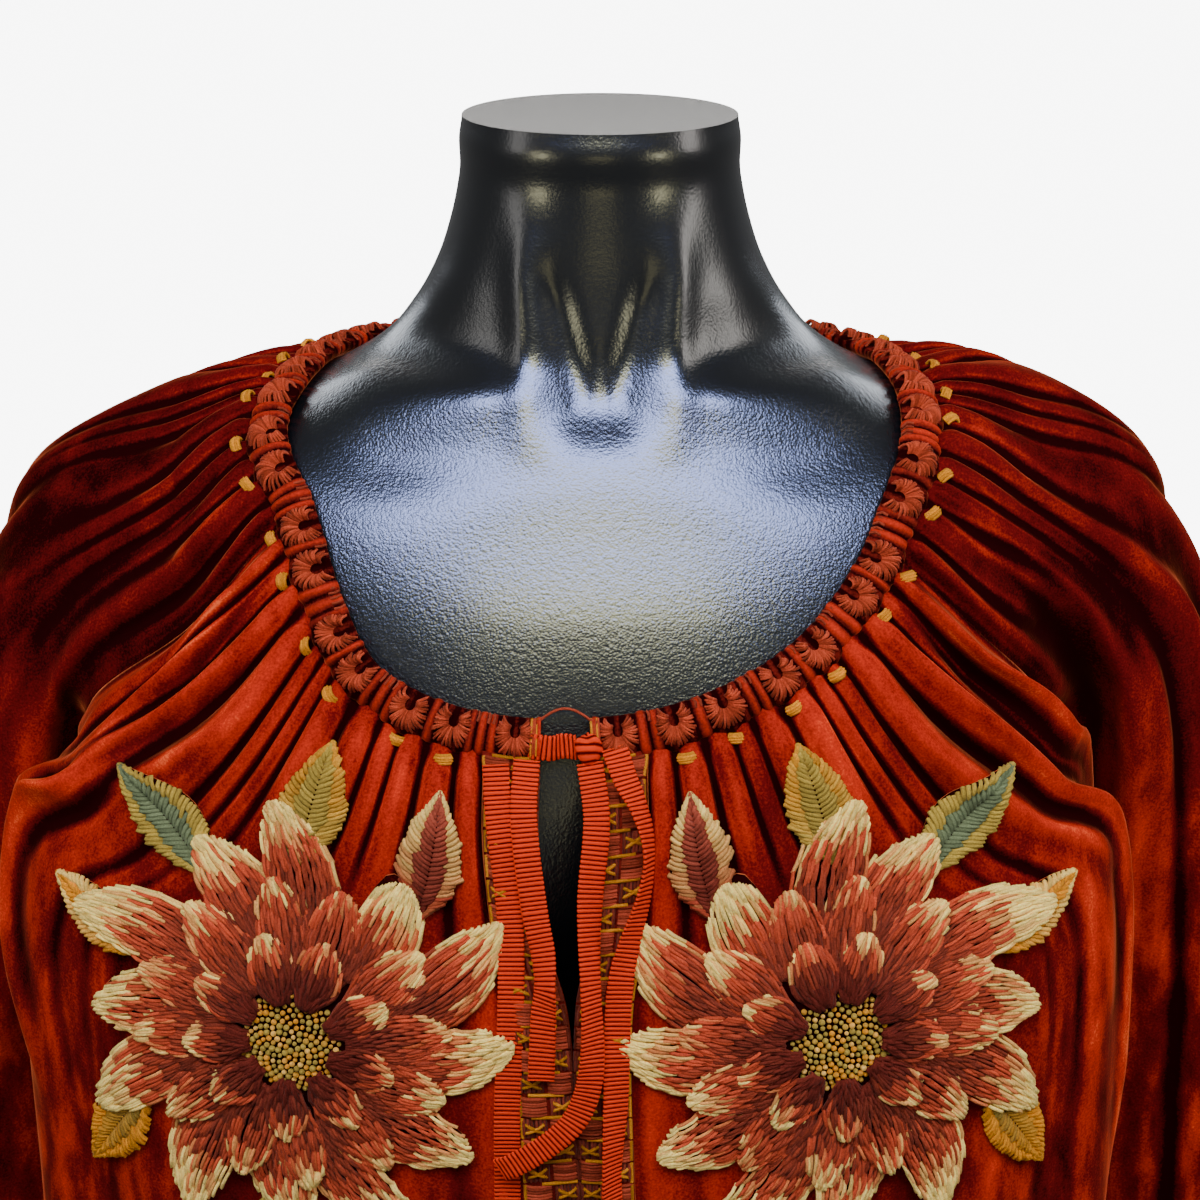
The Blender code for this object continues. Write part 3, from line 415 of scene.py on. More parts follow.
@dataclass(frozen=True)
class PebbledGloss:
    """Black moulded plastic with a fine leather-like pebble under its gloss."""

    base: Colour = (0.0040, 0.0050, 0.0065)
    pebble_scale: float = 980.0
    smooth_above: float = 0.668

    def material(self, name: str = "pebbled_gloss") -> Finish:
        """Builds the finish."""
        nodes = Nodes(name)
        place = nodes.place()
        cells = nodes.add("ShaderNodeTexVoronoi", {"Vector": place, "Scale": self.pebble_scale})
        swell = nodes.noise(place, self.pebble_scale * 0.5, 3.0)
        height = nodes.sum("SUBTRACT", swell, nodes.sum("MULTIPLY", cells.outputs["Distance"], 0.6))
        nodes.set(Base_Color=(*self.base, 1), Roughness=0.26, Specular_IOR_Level=0.62)
        nodes.set(Coat_Weight=0.15, Coat_Roughness=0.16)
        up = nodes.add("ShaderNodeSeparateXYZ", {"Vector": place}).outputs["Z"]
        span = {"Value": up, "From Min": self.smooth_above, "From Max": self.smooth_above + 0.05}
        fade = nodes.add("ShaderNodeMapRange", {**span, "To Min": 1.0, "To Max": 0.45})
        nodes.bump(nodes.sum("MULTIPLY", height, fade.outputs["Result"]), 0.36, 0.00045)
        return nodes.material


# The torso form


class Level(NamedTuple):
    """One cross-section of the form."""

    z: float
    half_width: float
    front: float
    back: float
    centre_y: float
    power: float


FORM_LEVELS = [
    Level(0.000, 0.1480, 0.0960, 0.1080, 0.000, 2.40),
    Level(0.060, 0.1580, 0.0990, 0.1180, 0.000, 2.40),
    Level(0.140, 0.1500, 0.0940, 0.1100, 0.000, 2.30),
    Level(0.260, 0.1180, 0.0820, 0.0860, 0.000, 2.20),
    Level(0.360, 0.1260, 0.0900, 0.0920, 0.000, 2.20),
    Level(0.430, 0.1400, 0.1000, 0.1000, 0.000, 2.20),
    Level(0.490, 0.1540, 0.1100, 0.1040, 0.000, 2.20),
    Level(0.550, 0.1720, 0.1120, 0.1050, 0.000, 2.20),
    Level(0.600, 0.1860, 0.1010, 0.1050, 0.000, 2.20),
    Level(0.632, 0.1830, 0.0870, 0.1030, 0.000, 2.20),
    Level(0.650, 0.1660, 0.0790, 0.0990, 0.000, 2.15),
    Level(0.664, 0.1390, 0.0720, 0.0930, 0.000, 2.10),
    Level(0.676, 0.1110, 0.0650, 0.0850, 0.000, 2.05),
    Level(0.690, 0.0880, 0.0590, 0.0730, 0.000, 2.00),
    Level(0.706, 0.0740, 0.0560, 0.0650, -0.001, 2.00),
    Level(0.722, 0.0650, 0.0540, 0.0600, -0.002, 2.00),
    Level(0.740, 0.0588, 0.0530, 0.0570, -0.003, 2.00),
    Level(0.760, 0.0548, 0.0525, 0.0550, -0.004, 2.00),
    Level(0.775, 0.0532, 0.0525, 0.0545, -0.005, 2.00),
    Level(0.780, 0.0512, 0.0505, 0.0525, -0.005, 2.00),
]


@dataclass
class TorsoForm:
    """The limbless form: superellipse levels with a soft chest, collarbones and neck."""

    height: float = 0.780
    chest_x: float = 0.074
    chest_z: float = 0.474
    chest_width: float = 0.052
    chest_height: float = 0.058
    chest_proud: float = 0.030
    slope_step: float = 0.0005
    rounding: float = 0.0035
    segments: int = 176
    rings: int = 190

    def level(self, column: str, z: Array) -> Array:
        """Reads one column of the form's levels at any height."""
        heights = [level.z for level in FORM_LEVELS]
        return smooth(heights, [getattr(level, column) for level in FORM_LEVELS], z)

    def front(self, x: Array, z: Array) -> Array:
        """How far the form reaches forward, with its chest."""
        rise = hump(np.abs(x), self.chest_x, self.chest_width) * hump(z, self.chest_z, self.chest_height)
        return self.level("front", z) + self.chest_proud * rise

    def share(self, points: Array) -> Array:
        """0 on the form's surface, negative inside and positive outside."""
        x, y, z = points[:, 0], points[:, 1], np.clip(points[:, 2], 0, self.height)
        y = y - self.level("centre_y", z)
        reach = np.where(y < 0, self.front(x, z), self.level("back", z))
        power = self.level("power", z)
        total = (np.abs(x) / self.level("half_width", z)) ** power + (np.abs(y) / reach) ** power
        return total ** (1 / power) - 1

    def off(self, points: Array) -> tuple[Array, Array]:
        """Each point's distance from the form, and the way straight off it."""
        ways = np.eye(3) * self.slope_step
        rises = [self.share(points + way) - self.share(points - way) for way in ways]
        slope = np.stack(rises, axis=1) / (2 * self.slope_step)
        steepness = np.linalg.norm(slope, axis=1)
        return self.share(points) / steepness, slope / steepness[:, None]

    def clear(self, points: Array, distance: float) -> Array:
        """Moves points that are nearer to the form than distance off it.

        Args:
            points: Points in any grid.
            distance: The least distance in metres.

        Returns:
            The points, in the same grid.
        """
        return self.seated(points.reshape(-1, 3), distance, 0).reshape(points.shape)

    def seated(self, points: Array, distance: float, least: float = -np.inf) -> Array:
        """The points, moved to lie at that distance from the form, or at least that far off."""
        for _ in range(4):
            gap, away = self.off(points)
            points = points + away * np.maximum(distance - gap, least)[:, None]
        return points

    def relief(self, points: Array) -> Array:
        """How far the collarbones, the notch and the neck's two cords stand out, in metres."""
        x, y, z = points.T
        front = ease(-y / 0.03)
        across = np.abs(x)
        bone_z = 0.6790 - 0.004 * ease((across - 0.03) / 0.08)
        reach = ease((across - 0.020) / 0.028) * (1 - ease((across - 0.085) / 0.05))
        bone = 0.0044 * hump(z, bone_z, 0.0105) * reach
        hollow = -0.0036 * hump(z, bone_z + 0.021, 0.0125) * hump(across, 0.064, 0.028)
        under = -0.0022 * hump(z, bone_z - 0.021, 0.0140) * hump(across, 0.082, 0.034)
        fade = ease((z - 0.652) / 0.034) * (1 - ease((z - 0.720) / 0.036))
        cord = 0.0042 * hump(across, 0.0275, 0.0086) * fade
        groove_x = 0.0070 + 0.0100 * np.clip((z - 0.682) / 0.034, 0, 1.3)
        depth = ease((z - 0.656) / 0.028) * (1 - ease((z - 0.712) / 0.028))
        groove = -0.0028 * hump(across, groove_x, 0.0062) * depth
        notch = -0.0012 * hump(x, 0.0, 0.0120) * hump(z, 0.6760, 0.0110)
        lip = np.interp(z, (0.758, 0.775, 0.780), (0, 0.0014, 0.0028))
        return front * (bone + hollow + under + cord + groove + notch) + lip

    def build(self, finish: Finish) -> Piece:
        """Makes the form, closed by its flat base and neck cap.

        Args:
            finish: Its material.

        Returns:
            The form.
        """
        turn = np.linspace(0, 2 * math.pi, self.segments, endpoint=False)
        low = np.linspace(0, 0.55, 80)
        heights = np.concatenate([low[:-1], np.linspace(0.55, self.height, self.rings - 79)])
        rings = []
        for z in heights:
            share = 2 / float(self.level("power", z))
            x = float(self.level("half_width", z)) * np.sign(np.cos(turn)) * np.abs(np.cos(turn)) ** share
            lift = np.sign(np.sin(turn)) * np.abs(np.sin(turn)) ** share
            reach = np.where(lift < 0, self.front(x, np.full_like(x, z)), float(self.level("back", z)))
            y = reach * lift + float(self.level("centre_y", z))
            rings.append(np.stack([x, y, np.full_like(x, z)], axis=1))
        grid = np.stack(rings)
        flat = grid.reshape(-1, 3)
        gap, away = self.off(flat)
        away[:, 2] *= ease((self.height - flat[:, 2]) / 0.01) * ease(flat[:, 2] / 0.01)
        grid = (flat + away * self.relief(flat)[:, None]).reshape(grid.shape)
        caps = []
        for ring, centre_z in ((grid[0], 0.0), (grid[-1], self.height)):
            middle = ring.mean(axis=0)
            middle[2] = centre_z
            caps.append([middle + (ring - middle) * share for share in (0.0, 0.5, 0.985)])
        grid = np.concatenate([np.stack(caps[0]), grid, np.stack(caps[1])[::-1]])
        grid[0] = grid[0].mean(axis=0)
        grid[-1] = grid[-1].mean(axis=0)
        faces = pole_faces(len(grid), self.segments, -1)
        piece = mesh_piece("torso_form", grid.reshape(-1, 3), faces, finish)
        piece.data.set_sharp_from_angle(angle=math.radians(40))
        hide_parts("form_torso")
        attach(piece, "root")
        return piece


# The neckline and the tunic's sections


class NeckStation(NamedTuple):
    """A point of the neckband's middle line."""

    x: float
    y: float
    z: float
    left_drop: float


NECK_STATIONS = [
    NeckStation(0.000, -0.118, 0.561, 0.000),
    NeckStation(0.046, -0.114, 0.567, 0.002),
    NeckStation(0.087, -0.100, 0.585, 0.007),
    NeckStation(0.109, -0.077, 0.611, 0.011),
    NeckStation(0.1175, -0.047, 0.640, 0.011),
    NeckStation(0.119, -0.005, 0.665, 0.006),
    NeckStation(0.109, 0.035, 0.673, 0.002),
    NeckStation(0.080, 0.068, 0.675, 0.000),
    NeckStation(0.042, 0.084, 0.669, 0.000),
    NeckStation(0.000, 0.089, 0.666, 0.000),
]


@dataclass
class Neckline:
    """The line that the gathered band follows round the form."""

    form: TorsoForm
    off_form: float = 0.0034
    half_height: float = 0.0075
    left_lean: float = 1.7
    shift_start_y: float = 0.03
    shift_reach: float = 0.13
    points: int = 240

    def half(self, side: Side) -> tuple[Array, Array, Array]:
        """Half of the middle line from front to back, with the ways off the form and down."""
        table = np.array(NECK_STATIONS)
        mirror = np.array([-1, 1, 1, 1])
        table = np.vstack([table[1] * mirror, table, table[-2] * mirror])
        at = np.linspace(0, len(table) - 3, self.points)
        line = smooth(np.arange(-1, len(table) - 1), table, at)
        forward = np.clip((self.shift_start_y - line[:, 1]) / self.shift_reach, 0, 1)
        line[:, 0] = side.value * line[:, 0] + FRONT_SHIFT * forward**1.5
        if side is Side.LEFT:
            line[:, 2] -= line[:, 3]
            line[:, 0] += line[:, 3] * self.left_lean
        line = self.form.seated(line[:, :3], self.off_form)
        away = self.form.off(line)[1]
        down = unit(np.cross(unit(np.gradient(line, axis=0)), away)) * side.value
        return line, away, down

    def length(self, side: Side) -> float:
        """Half the band's length."""
        return float(lengths_along(self.half(side)[0])[-1])

    def edge(self, side: Side, at: Array) -> tuple[Array, Array]:
        """The seam below the band and the ways off the form, at distances from the front centre."""
        line, away, down = self.half(side)
        edge = line + down * (self.half_height + SEAM_GAP)
        edge, away = read_at([edge, away], lengths_along(line), at)
        return edge, away

    def ring(self, slit: float, count: int) -> tuple[Array, Array, Array]:
        """The whole middle line from one end at the slit to the other, with both ways.

        Args:
            slit: Half of the slit's opening.
            count: Points along it.

        Returns:
            The line, the ways off the form and the ways down.
        """
        line, away, down = [], [], []
        for side in (Side.RIGHT, Side.LEFT):
            order = slice(None) if side is Side.RIGHT else slice(-2, None, -1)
            for whole, part in zip((line, away, down), self.half(side)):
                whole.append(part[order])
        line, away, down = [np.concatenate(parts) for parts in (line, away, down)]
        along = lengths_along(line)
        at = np.linspace(slit, along[-1] - slit, count)
        line, away, down = read_at([line, away, down], along, at)
        return line, unit(away), unit(down)


class Section(NamedTuple):
    """A front section: a flattened arc that turns back under the arm."""

    z_centre: float
    z_edge: float
    half_width: float
    turn_y: float
    depth: float
    end_angle: float
    left_extra: float
    shift: float


FRONT_SECTIONS = [
    Section(0.523, 0.590, 0.142, -0.068, 0.064, 90, 0.018, -0.013),
    Section(0.484, 0.550, 0.181, -0.056, 0.084, 99, 0.026, -0.012),
    Section(0.440, 0.500, 0.209, -0.050, 0.098, 117, 0.026, -0.010),
    Section(0.270, 0.285, 0.214, -0.046, 0.100, 114, 0.018, -0.004),
    Section(0.036, 0.036, 0.224, -0.044, 0.108, 112, 0.010, 0.000),
]


class BackSection(NamedTuple):
    """Half of a back section; the side ones end at the front's seam."""

    z_centre: float
    edge: Place | None
    centre_y: float
    end_angle: float
    left_extra: float


BACK_SECTIONS = [
    BackSection(0.628, (0.136, 0.074, 0.650), 0.112, 62, 0.006),
    BackSection(0.570, (0.168, 0.060, 0.590), 0.122, 74, 0.012),
    BackSection(0.490, None, 0.126, 97, 0.0),
    BackSection(0.275, None, 0.122, 97, 0.0),
    BackSection(0.036, None, 0.134, 97, 0.0),
]


class SleeveArc(NamedTuple):
    """Three points of a sleeve section above the underarm."""

    front_side: Place
    outer: Place
    back_side: Place


SLEEVE_ARCS = [
    SleeveArc((0.158, -0.034, 0.646), (0.170, 0.010, 0.672), (0.160, 0.050, 0.668)),
    SleeveArc((0.209, -0.030, 0.604), (0.226, 0.016, 0.638), (0.208, 0.062, 0.626)),
    SleeveArc((0.231, -0.030, 0.540), (0.251, 0.030, 0.578), (0.230, 0.080, 0.550)),
]


class SleeveRing(NamedTuple):
    """A sleeve section below the underarm."""

    z: float
    centre_x: float
    centre_y: float
    half_x: float
    half_y: float


SLEEVE_RINGS = [
    SleeveRing(0.430, 0.253, 0.040, 0.050, 0.060),
    SleeveRing(0.270, 0.258, 0.042, 0.051, 0.062),
    SleeveRing(0.075, 0.262, 0.040, 0.050, 0.060),
]


@dataclass
class Pattern:
    """The tunic's key sections, each a row of points from one seam to the other."""

    form: TorsoForm
    neckline: Neckline
    raglan_front: float = 0.150
    raglan_back: float = 0.105
    cloth_off_form: float = 0.0040
    placket_width: float = 0.022
    placket_columns: int = 3
    half_columns: int = 27
    slit_half_widths: tuple[float, ...] = (0.0095, 0.0098, 0.0062, 0.0, 0.0, 0.0)
    left_sleeve_drop: float = 0.007
    left_sleeve_extras: tuple[float, ...] = (0.0, 0.005, 0.009, 0.015, 0.018, 0.018, 0.016)

    def off_slit(self, columns: Array, length: float, slit: float) -> Array:
        """Distances of front columns from the front centre.

        Args:
            columns: Column positions, 0 at the slit and half_columns at the seam.
            length: The section's length.
            slit: Half of the slit's opening there.

        Returns:
            The distances.
        """
        marks = [0, self.placket_columns, self.half_columns]
        return np.interp(columns, marks, [slit, slit + self.placket_width, length])

    def front_keys(self, side: Side, columns: Array) -> Array:
        """Key sections of a front half, with these columns from the slit to the seam."""
        lines = [self.neckline.edge(side, np.linspace(0, self.raglan_front, 200))[0]]
        for section in FRONT_SECTIONS:
            turn = np.linspace(0, math.radians(section.end_angle), 90)
            width = section.half_width + (section.left_extra if side is Side.LEFT else 0)
            shift = section.shift * np.clip(np.cos(turn), 0, 1) ** 2
            x = side.value * width * np.sin(turn) + shift
            y = section.turn_y - section.depth * np.cos(turn)
            z = section.z_centre + (section.z_edge - section.z_centre) * (turn / turn[-1]) ** 1.6
            lines.append(self.form.clear(np.stack([x, y, z], axis=1), self.cloth_off_form))
        keys = []
        for line, slit in zip(lines, self.slit_half_widths):
            along = lengths_along(line)
            keys.append(read_at([line], along, self.off_slit(columns, along[-1], slit))[0])
        return np.stack(keys)

    def back_section(self, section: BackSection, side: Side, front_seam: Array) -> Array:
        """Half of a back section, from its centre to its seam."""
        seam = np.array(front_seam)
        if section.edge is not None:
            extra = section.left_extra if side is Side.LEFT else 0
            seam = np.array(section.edge) * (side.value, 1, 1) + (side.value * extra, 0, 0)
        end = math.radians(section.end_angle)
        turn = np.linspace(0, end, 60)
        x = seam[0] * np.sin(turn) / math.sin(end)
        bow = (1 - np.cos(turn)) / (1 - math.cos(end))
        y = section.centre_y + (seam[1] - section.centre_y) * bow
        z = section.z_centre + (seam[2] - section.z_centre) * (turn / end) ** 2
        return self.form.clear(np.stack([x, y, z], axis=1), self.cloth_off_form)

    def back_keys(self, front_seams: dict[Side, Array], shares: Array) -> Array:
        """Key sections of the back from the right seam to the left one, at shares of each."""
        halves = {}
        for side in Side:
            whole = self.neckline.length(side)
            at = np.linspace(whole - self.raglan_back, whole, 100)
            halves[side] = [self.neckline.edge(side, at)[0][::-1]]
            for key, section in enumerate(BACK_SECTIONS, start=1):
                halves[side].append(self.back_section(section, side, front_seams[side][key]))
        pairs = zip(halves[Side.RIGHT], halves[Side.LEFT])
        whole = [np.concatenate([right[::-1], left[1:]]) for right, left in pairs]
        return np.stack([at_shares(line, shares) for line in whole])

    def back_away(self, shares: Array) -> Array:
        """The ways off the form along the back's neck seam."""
        aways = []
        for side in (Side.RIGHT, Side.LEFT):
            whole = self.neckline.length(side)
            away = self.neckline.edge(side, np.linspace(whole - self.raglan_back, whole, 100))[1]
            aways.append(away if side is Side.RIGHT else away[::-1][1:])
        away = np.concatenate(aways)
        return read_at([away], np.linspace(0, 1, len(away)), shares)[0]

    def sleeve_keys(self, side: Side, front_seam: Array, back_seam: Array, shares: Array) -> Array:
        """Key sections of a sleeve, from its front seam over the outside to its back seam."""
        end = self.neckline.length(side) - self.raglan_back
        lines = [self.neckline.edge(side, np.linspace(self.raglan_front, end, 160))[0]]
        left = side is Side.LEFT
        extras = self.left_sleeve_extras if left else (0.0,) * len(self.left_sleeve_extras)
        drop = self.left_sleeve_drop if left else 0.0
        for key, arc in enumerate(SLEEVE_ARCS, start=1):
            middle = [(side.value * (x + extras[key]), y, z - drop) for x, y, z in arc]
            points = np.array([front_seam[key], *middle, back_seam[key]])
            spread = lengths_along(points)
            lines.append(smooth(spread, points, np.linspace(0, spread[-1], 90)))
        turn = np.linspace(0, 2 * math.pi, 91)
        for key, ring in enumerate(SLEEVE_RINGS, start=len(lines)):
            x = side.value * (ring.centre_x + extras[key] - ring.half_x * np.cos(turn))
            y = ring.centre_y - ring.half_y * np.sin(turn)
            lines.append(np.stack([x, y, np.full(len(turn), ring.z)], axis=1))
        lines = [self.form.clear(line, self.cloth_off_form) for line in lines]
        return np.stack([at_shares(line, shares) for line in lines])


# The cloth


class Crease(NamedTuple):
    """A soft ridge drawn on a panel, or a trough where its height is negative."""

    column: float
    reach: float
    end_column: float
    end_reach: float
    width: float
    height: float


@dataclass
class Gathers:
    """Finger pleats below the neckband: how many, where the first starts and how far they run."""

    start: float
    count: int
    run: float = 1.0
    unevenness: float = 0.32
    pace: float = 2.3
    wander: float = 0.30
    tuck: float = 0.0016
    reaches: tuple[float, ...] = (0.000, 0.006, 0.016, 0.040, 0.085, 0.150, 0.240)
    heights: tuple[float, ...] = (0.0012, 0.0040, 0.0066, 0.0072, 0.0050, 0.0024, 0.0004)

    def phase(self, columns: Array, reach: Array) -> Array:
        """Where each point lies in the row of pleats, which wander sideways as they run down."""
        phase = (columns - self.start) / 2
        share = np.clip(phase / self.count, 0, 1)
        drift = np.sin(1.7 * phase + 0.6) + 0.5 * np.sin(0.9 * phase + 24 * reach)
        freedom = 0.75 + 0.70 * np.clip(reach / 0.10, 0, 1)
        return phase + self.wander * drift * np.sin(math.pi * share) * freedom

    def rise(self, columns: Array, reach: Array) -> tuple[Array, Array]:
        """How far the pleats stand out.

        Args:
            columns: The column position of each point.
            reach: Its distance below the neckline in metres.

        Returns:
            The height in metres, and the painted shading: painted highlight most along a pleat's two edges,
            painted shade in the valleys between pleats.
        """
        reach = reach / self.run
        phase = self.phase(columns, reach)
        inside = (phase > 0) & (phase < self.count)
        index = np.floor(phase)
        size = 1 + self.unevenness * np.sin(self.pace * (self.start + 1 + 2 * index))
        size = size * (1 - 0.55 * ease((reach - 0.045) / 0.08) * (index % 2))
        blunt = 0.48 + 1.1 * (1 - ease(reach / 0.013)) + 0.9 * ease((reach - 0.01) / 0.10)
        finger = np.where(inside, np.abs(np.sin(math.pi * phase)) ** blunt, 0.0)
        height = np.interp(reach, self.reaches, self.heights)
        fade = np.interp(reach, self.reaches, np.array(self.heights) / max(self.heights))
        # Painted highlight on a pleat's flanks and painted shade in the valleys between pleats.
        painted_shade_and_highlight = fade * (0.42 * hump(finger, 0.62, 0.18) - 0.58 * (1 - finger) ** 2) * inside
        return height * size * finger - self.tuck * fade * (1 - finger) ** 3 * inside, painted_shade_and_highlight


@dataclass
class Folds:
    """Long folds that hang below the chest."""

    count: float
    depth: float
    phase: float
    start_z: float
    end_z: float


@dataclass
class Panel:
    """A cut piece of cloth: its outer skin in rows and columns, and the way out of it."""

    name: str
    keys: Array
    rows: Array
    columns: Array
    facing: int
    neck_away: Array
    form: TorsoForm
    seam_columns: int = 30
    off_form: float = 0.0040
    cloth: float = 0.0013
    under_band: float = 0.0022
    grid: Array = field(init=False)
    out: Array = field(init=False)
    nap: Array = field(init=False)

    def __post_init__(self) -> None:
        """Lofts the skin through its key sections."""
        self.grid = smooth(np.arange(len(self.keys)), self.keys, self.rows)
        self.grid[0] += unit(self.grid[0] - self.grid[1]) * self.under_band
        self.grid = self.form.clear(self.grid, self.off_form)
        self.nap = np.full(self.grid.shape[:2], 0.44)
        self.face_out(8)

    def face_out(self, rounds: int) -> None:
        """Works out the way out of the cloth, which at the neck is off the form.

        Args:
            rounds: How often the ways are evened out.
        """
        down, across = np.gradient(self.grid, axis=(0, 1))
        out = unit(np.cross(down, across)) * self.facing
        for _ in range(rounds):
            out[1:-1] = unit(out[:-2] + 2 * out[1:-1] + out[2:])
            out[:, 1:-1] = unit(out[:, :-2] + 2 * out[:, 1:-1] + out[:, 2:])
        blend = (1 - ease(self.rows / 0.25))[:, None, None]
        self.out = unit(out * (1 - blend) + self.neck_away[None] * blend)

    def meet(self, column: int, other: "Panel", other_column: int, rows: slice) -> None:
        """Brings this panel's edge to another's, and eases the columns beside it after it."""
        shift = other.grid[rows, other_column] - self.grid[rows, column]
        inward = 1 if column == 0 else -1
        for k in range(self.seam_columns):
            self.grid[rows, column + inward * k] += shift * (1 - k / self.seam_columns)

    def reach(self) -> Array:
        """Each point's distance below the neckline, along its column."""
        steps = np.linalg.norm(np.diff(self.grid, axis=0), axis=2)
        return np.vstack([np.zeros(self.grid.shape[1]), np.cumsum(steps, axis=0)])

    def still(self, calm: Array) -> Array:
        """How freely each point moves: nothing at a seam, and little under stitching."""
        share = np.linspace(0, 1, self.grid.shape[1])
        from_edge = np.minimum(share, 1 - share) * self.grid.shape[1] / 8
        return ease(from_edge)[None, :] * calm

    def ruffle(
        self, columns: Array, gathers: Gathers, folds: Folds, creases: list[Crease], calm: Array
    ) -> None:
        """Raises the pleats, the hanging folds and the creases.

        Args:
            columns: The gathers' column position of each grid column.
            gathers: The pleats below the neckband.
            folds: The hanging folds.
            creases: The listed creases.
            calm: 1 on free cloth, near 0 where stitching keeps it flat.
        """
        reach = self.reach()
        still = self.still(calm)
        spread = np.broadcast_to(columns, reach.shape)
        rise, painted_shade_and_highlight = gathers.rise(spread, reach)
        share = np.linspace(0, 1, self.grid.shape[1])
        fall = np.clip((folds.start_z - self.grid[..., 2]) / (folds.start_z - folds.end_z), 0, 1)
        waver = 0.16 * np.sin(9 * self.grid[..., 2] + 5 * share)
        roll = np.sin(2 * math.pi * (folds.count * share + folds.phase + waver)) * folds.depth * fall
        height = rise + roll
        for crease in creases:
            along = (reach - crease.reach) / (crease.end_reach - crease.reach)
            middle = crease.column + (crease.end_column - crease.column) * along
            ends = ease((along + 0.12) / 0.3) * ease((1.12 - along) / 0.3)
            height = height + crease.height * np.exp(-(((spread - middle) / crease.width) ** 2)) * ends
        moved = self.grid + self.out * (height * still)[..., None]
        self.grid = self.form.clear(moved, self.off_form)
        # Painted shade and highlight of the pleats, calmer under stitching.
        self.nap = self.nap + painted_shade_and_highlight * calm
        self.face_out(2)
        self.brush()

    def brush(self) -> None:
        """Paints highlight on ridges and shade in hollows, by how the skin bends."""
        total = np.zeros(self.grid.shape[:2])
        for step, gain, most in ((2, 150.0, 0.06), (6, 55.0, 0.16)):
            ahead = np.roll(self.grid, -step, axis=1)
            behind = np.roll(self.grid, step, axis=1)
            ahead[:, -step:] = self.grid[:, -step:]
            behind[:, :step] = self.grid[:, :step]
            hollow = np.sum(((ahead + behind) / 2 - self.grid) * self.out, axis=2)
            hollow[:, :step] = hollow[:, -step:] = 0
            total += np.clip(-hollow * gain, -0.5, most)
        self.nap = self.nap + total

    def build(self, cells: Faces, finish: Finish) -> Piece:
        """Closes the skin into a thin wall and hands it to the frame.

        Args:
            cells: The outer skin's faces.
            finish: The velvet.

        Returns:
            The piece.
        """
        inner = self.grid - self.out * self.cloth
        piece = wall_piece(self.name + "_panel", self.grid, inner, cells, finish)
        used = used_points(cells)
        # Painted shading for the finish; the inner skin is darker, as painted shade.
        nap = self.nap.reshape(-1)[used]
        paint(piece, "nap", np.concatenate([nap, nap - 0.25]))
        x, y, z = self.grid.reshape(-1, 3)[used].T
        low = ease((0.56 - z) / 0.16)
        side = ease((np.abs(x) - 0.12) / 0.06)
        crushed = np.clip(low * side + 0.35 * ease((0.42 - z) / 0.10) + 0.25 * low * (y > 0), 0, 1)
        paint(piece, "crushed", np.concatenate([crushed, crushed]))
        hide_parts(self.name)
        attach(piece, "root")
        return piece


FRONT_CREASES = {
    Side.LEFT: [
        Crease(25.5, 0.02, 20.5, 0.24, 0.75, 0.0085),
        Crease(24.2, 0.03, 22.6, 0.26, 0.50, -0.0050),
        Crease(22.5, 0.05, 23.8, 0.30, 0.70, 0.0060),
        Crease(19.5, 0.05, 25.0, 0.20, 0.60, 0.0050),
        Crease(26.0, 0.12, 24.6, 0.34, 0.55, -0.0050),
        Crease(23.2, 0.10, 26.2, 0.30, 0.50, 0.0060),
        Crease(21.2, 0.03, 24.0, 0.16, 0.45, -0.0050),
    ],
    Side.RIGHT: [
        Crease(24.5, 0.02, 23.6, 0.22, 0.60, -0.0070),
        Crease(25.8, 0.02, 25.2, 0.30, 0.60, 0.0080),
        Crease(22.8, 0.03, 22.2, 0.30, 0.75, 0.0070),
        Crease(20.8, 0.04, 24.4, 0.24, 0.55, -0.0045),
        Crease(19.0, 0.04, 21.5, 0.16, 0.60, 0.0045),
        Crease(22.0, 0.10, 25.6, 0.32, 0.50, 0.0060),
        Crease(24.2, 0.16, 23.0, 0.40, 0.45, -0.0050),
    ],
}
BACK_CREASES = [
    Crease(6.0, 0.03, 8.5, 0.22, 0.9, 0.0050),
    Crease(25.0, 0.03, 22.0, 0.20, 0.9, 0.0055),
    Crease(15.0, 0.05, 16.5, 0.30, 1.2, 0.0040),
    Crease(20.0, 0.10, 18.0, 0.34, 0.8, -0.0035),
]
SLEEVE_CREASES = {
    Side.LEFT: [
        Crease(4.0, 0.01, 2.2, 0.16, 0.9, 0.0050),
        Crease(6.5, 0.01, 5.0, 0.14, 0.7, -0.0030),
        Crease(3.0, 0.14, 6.0, 0.34, 0.9, 0.0065),
        Crease(8.0, 0.12, 10.5, 0.40, 1.0, 0.0060),
        Crease(13.0, 0.10, 12.0, 0.36, 0.8, -0.0040),
        Crease(17.0, 0.12, 18.0, 0.42, 1.1, 0.0055),
    ],
    Side.RIGHT: [
        Crease(3.0, 0.02, 2.0, 0.18, 0.8, -0.0055),
        Crease(4.6, 0.06, 3.8, 0.40, 0.7, 0.0075),
        Crease(6.6, 0.10, 6.0, 0.44, 0.5, -0.0045),
        Crease(8.2, 0.08, 8.6, 0.42, 0.7, 0.0070),
        Crease(11.5, 0.12, 11.0, 0.44, 0.8, 0.0060),
        Crease(13.2, 0.10, 13.6, 0.40, 0.5, -0.0045),
        Crease(18.0, 0.12, 17.0, 0.42, 1.1, 0.0055),
    ],
}


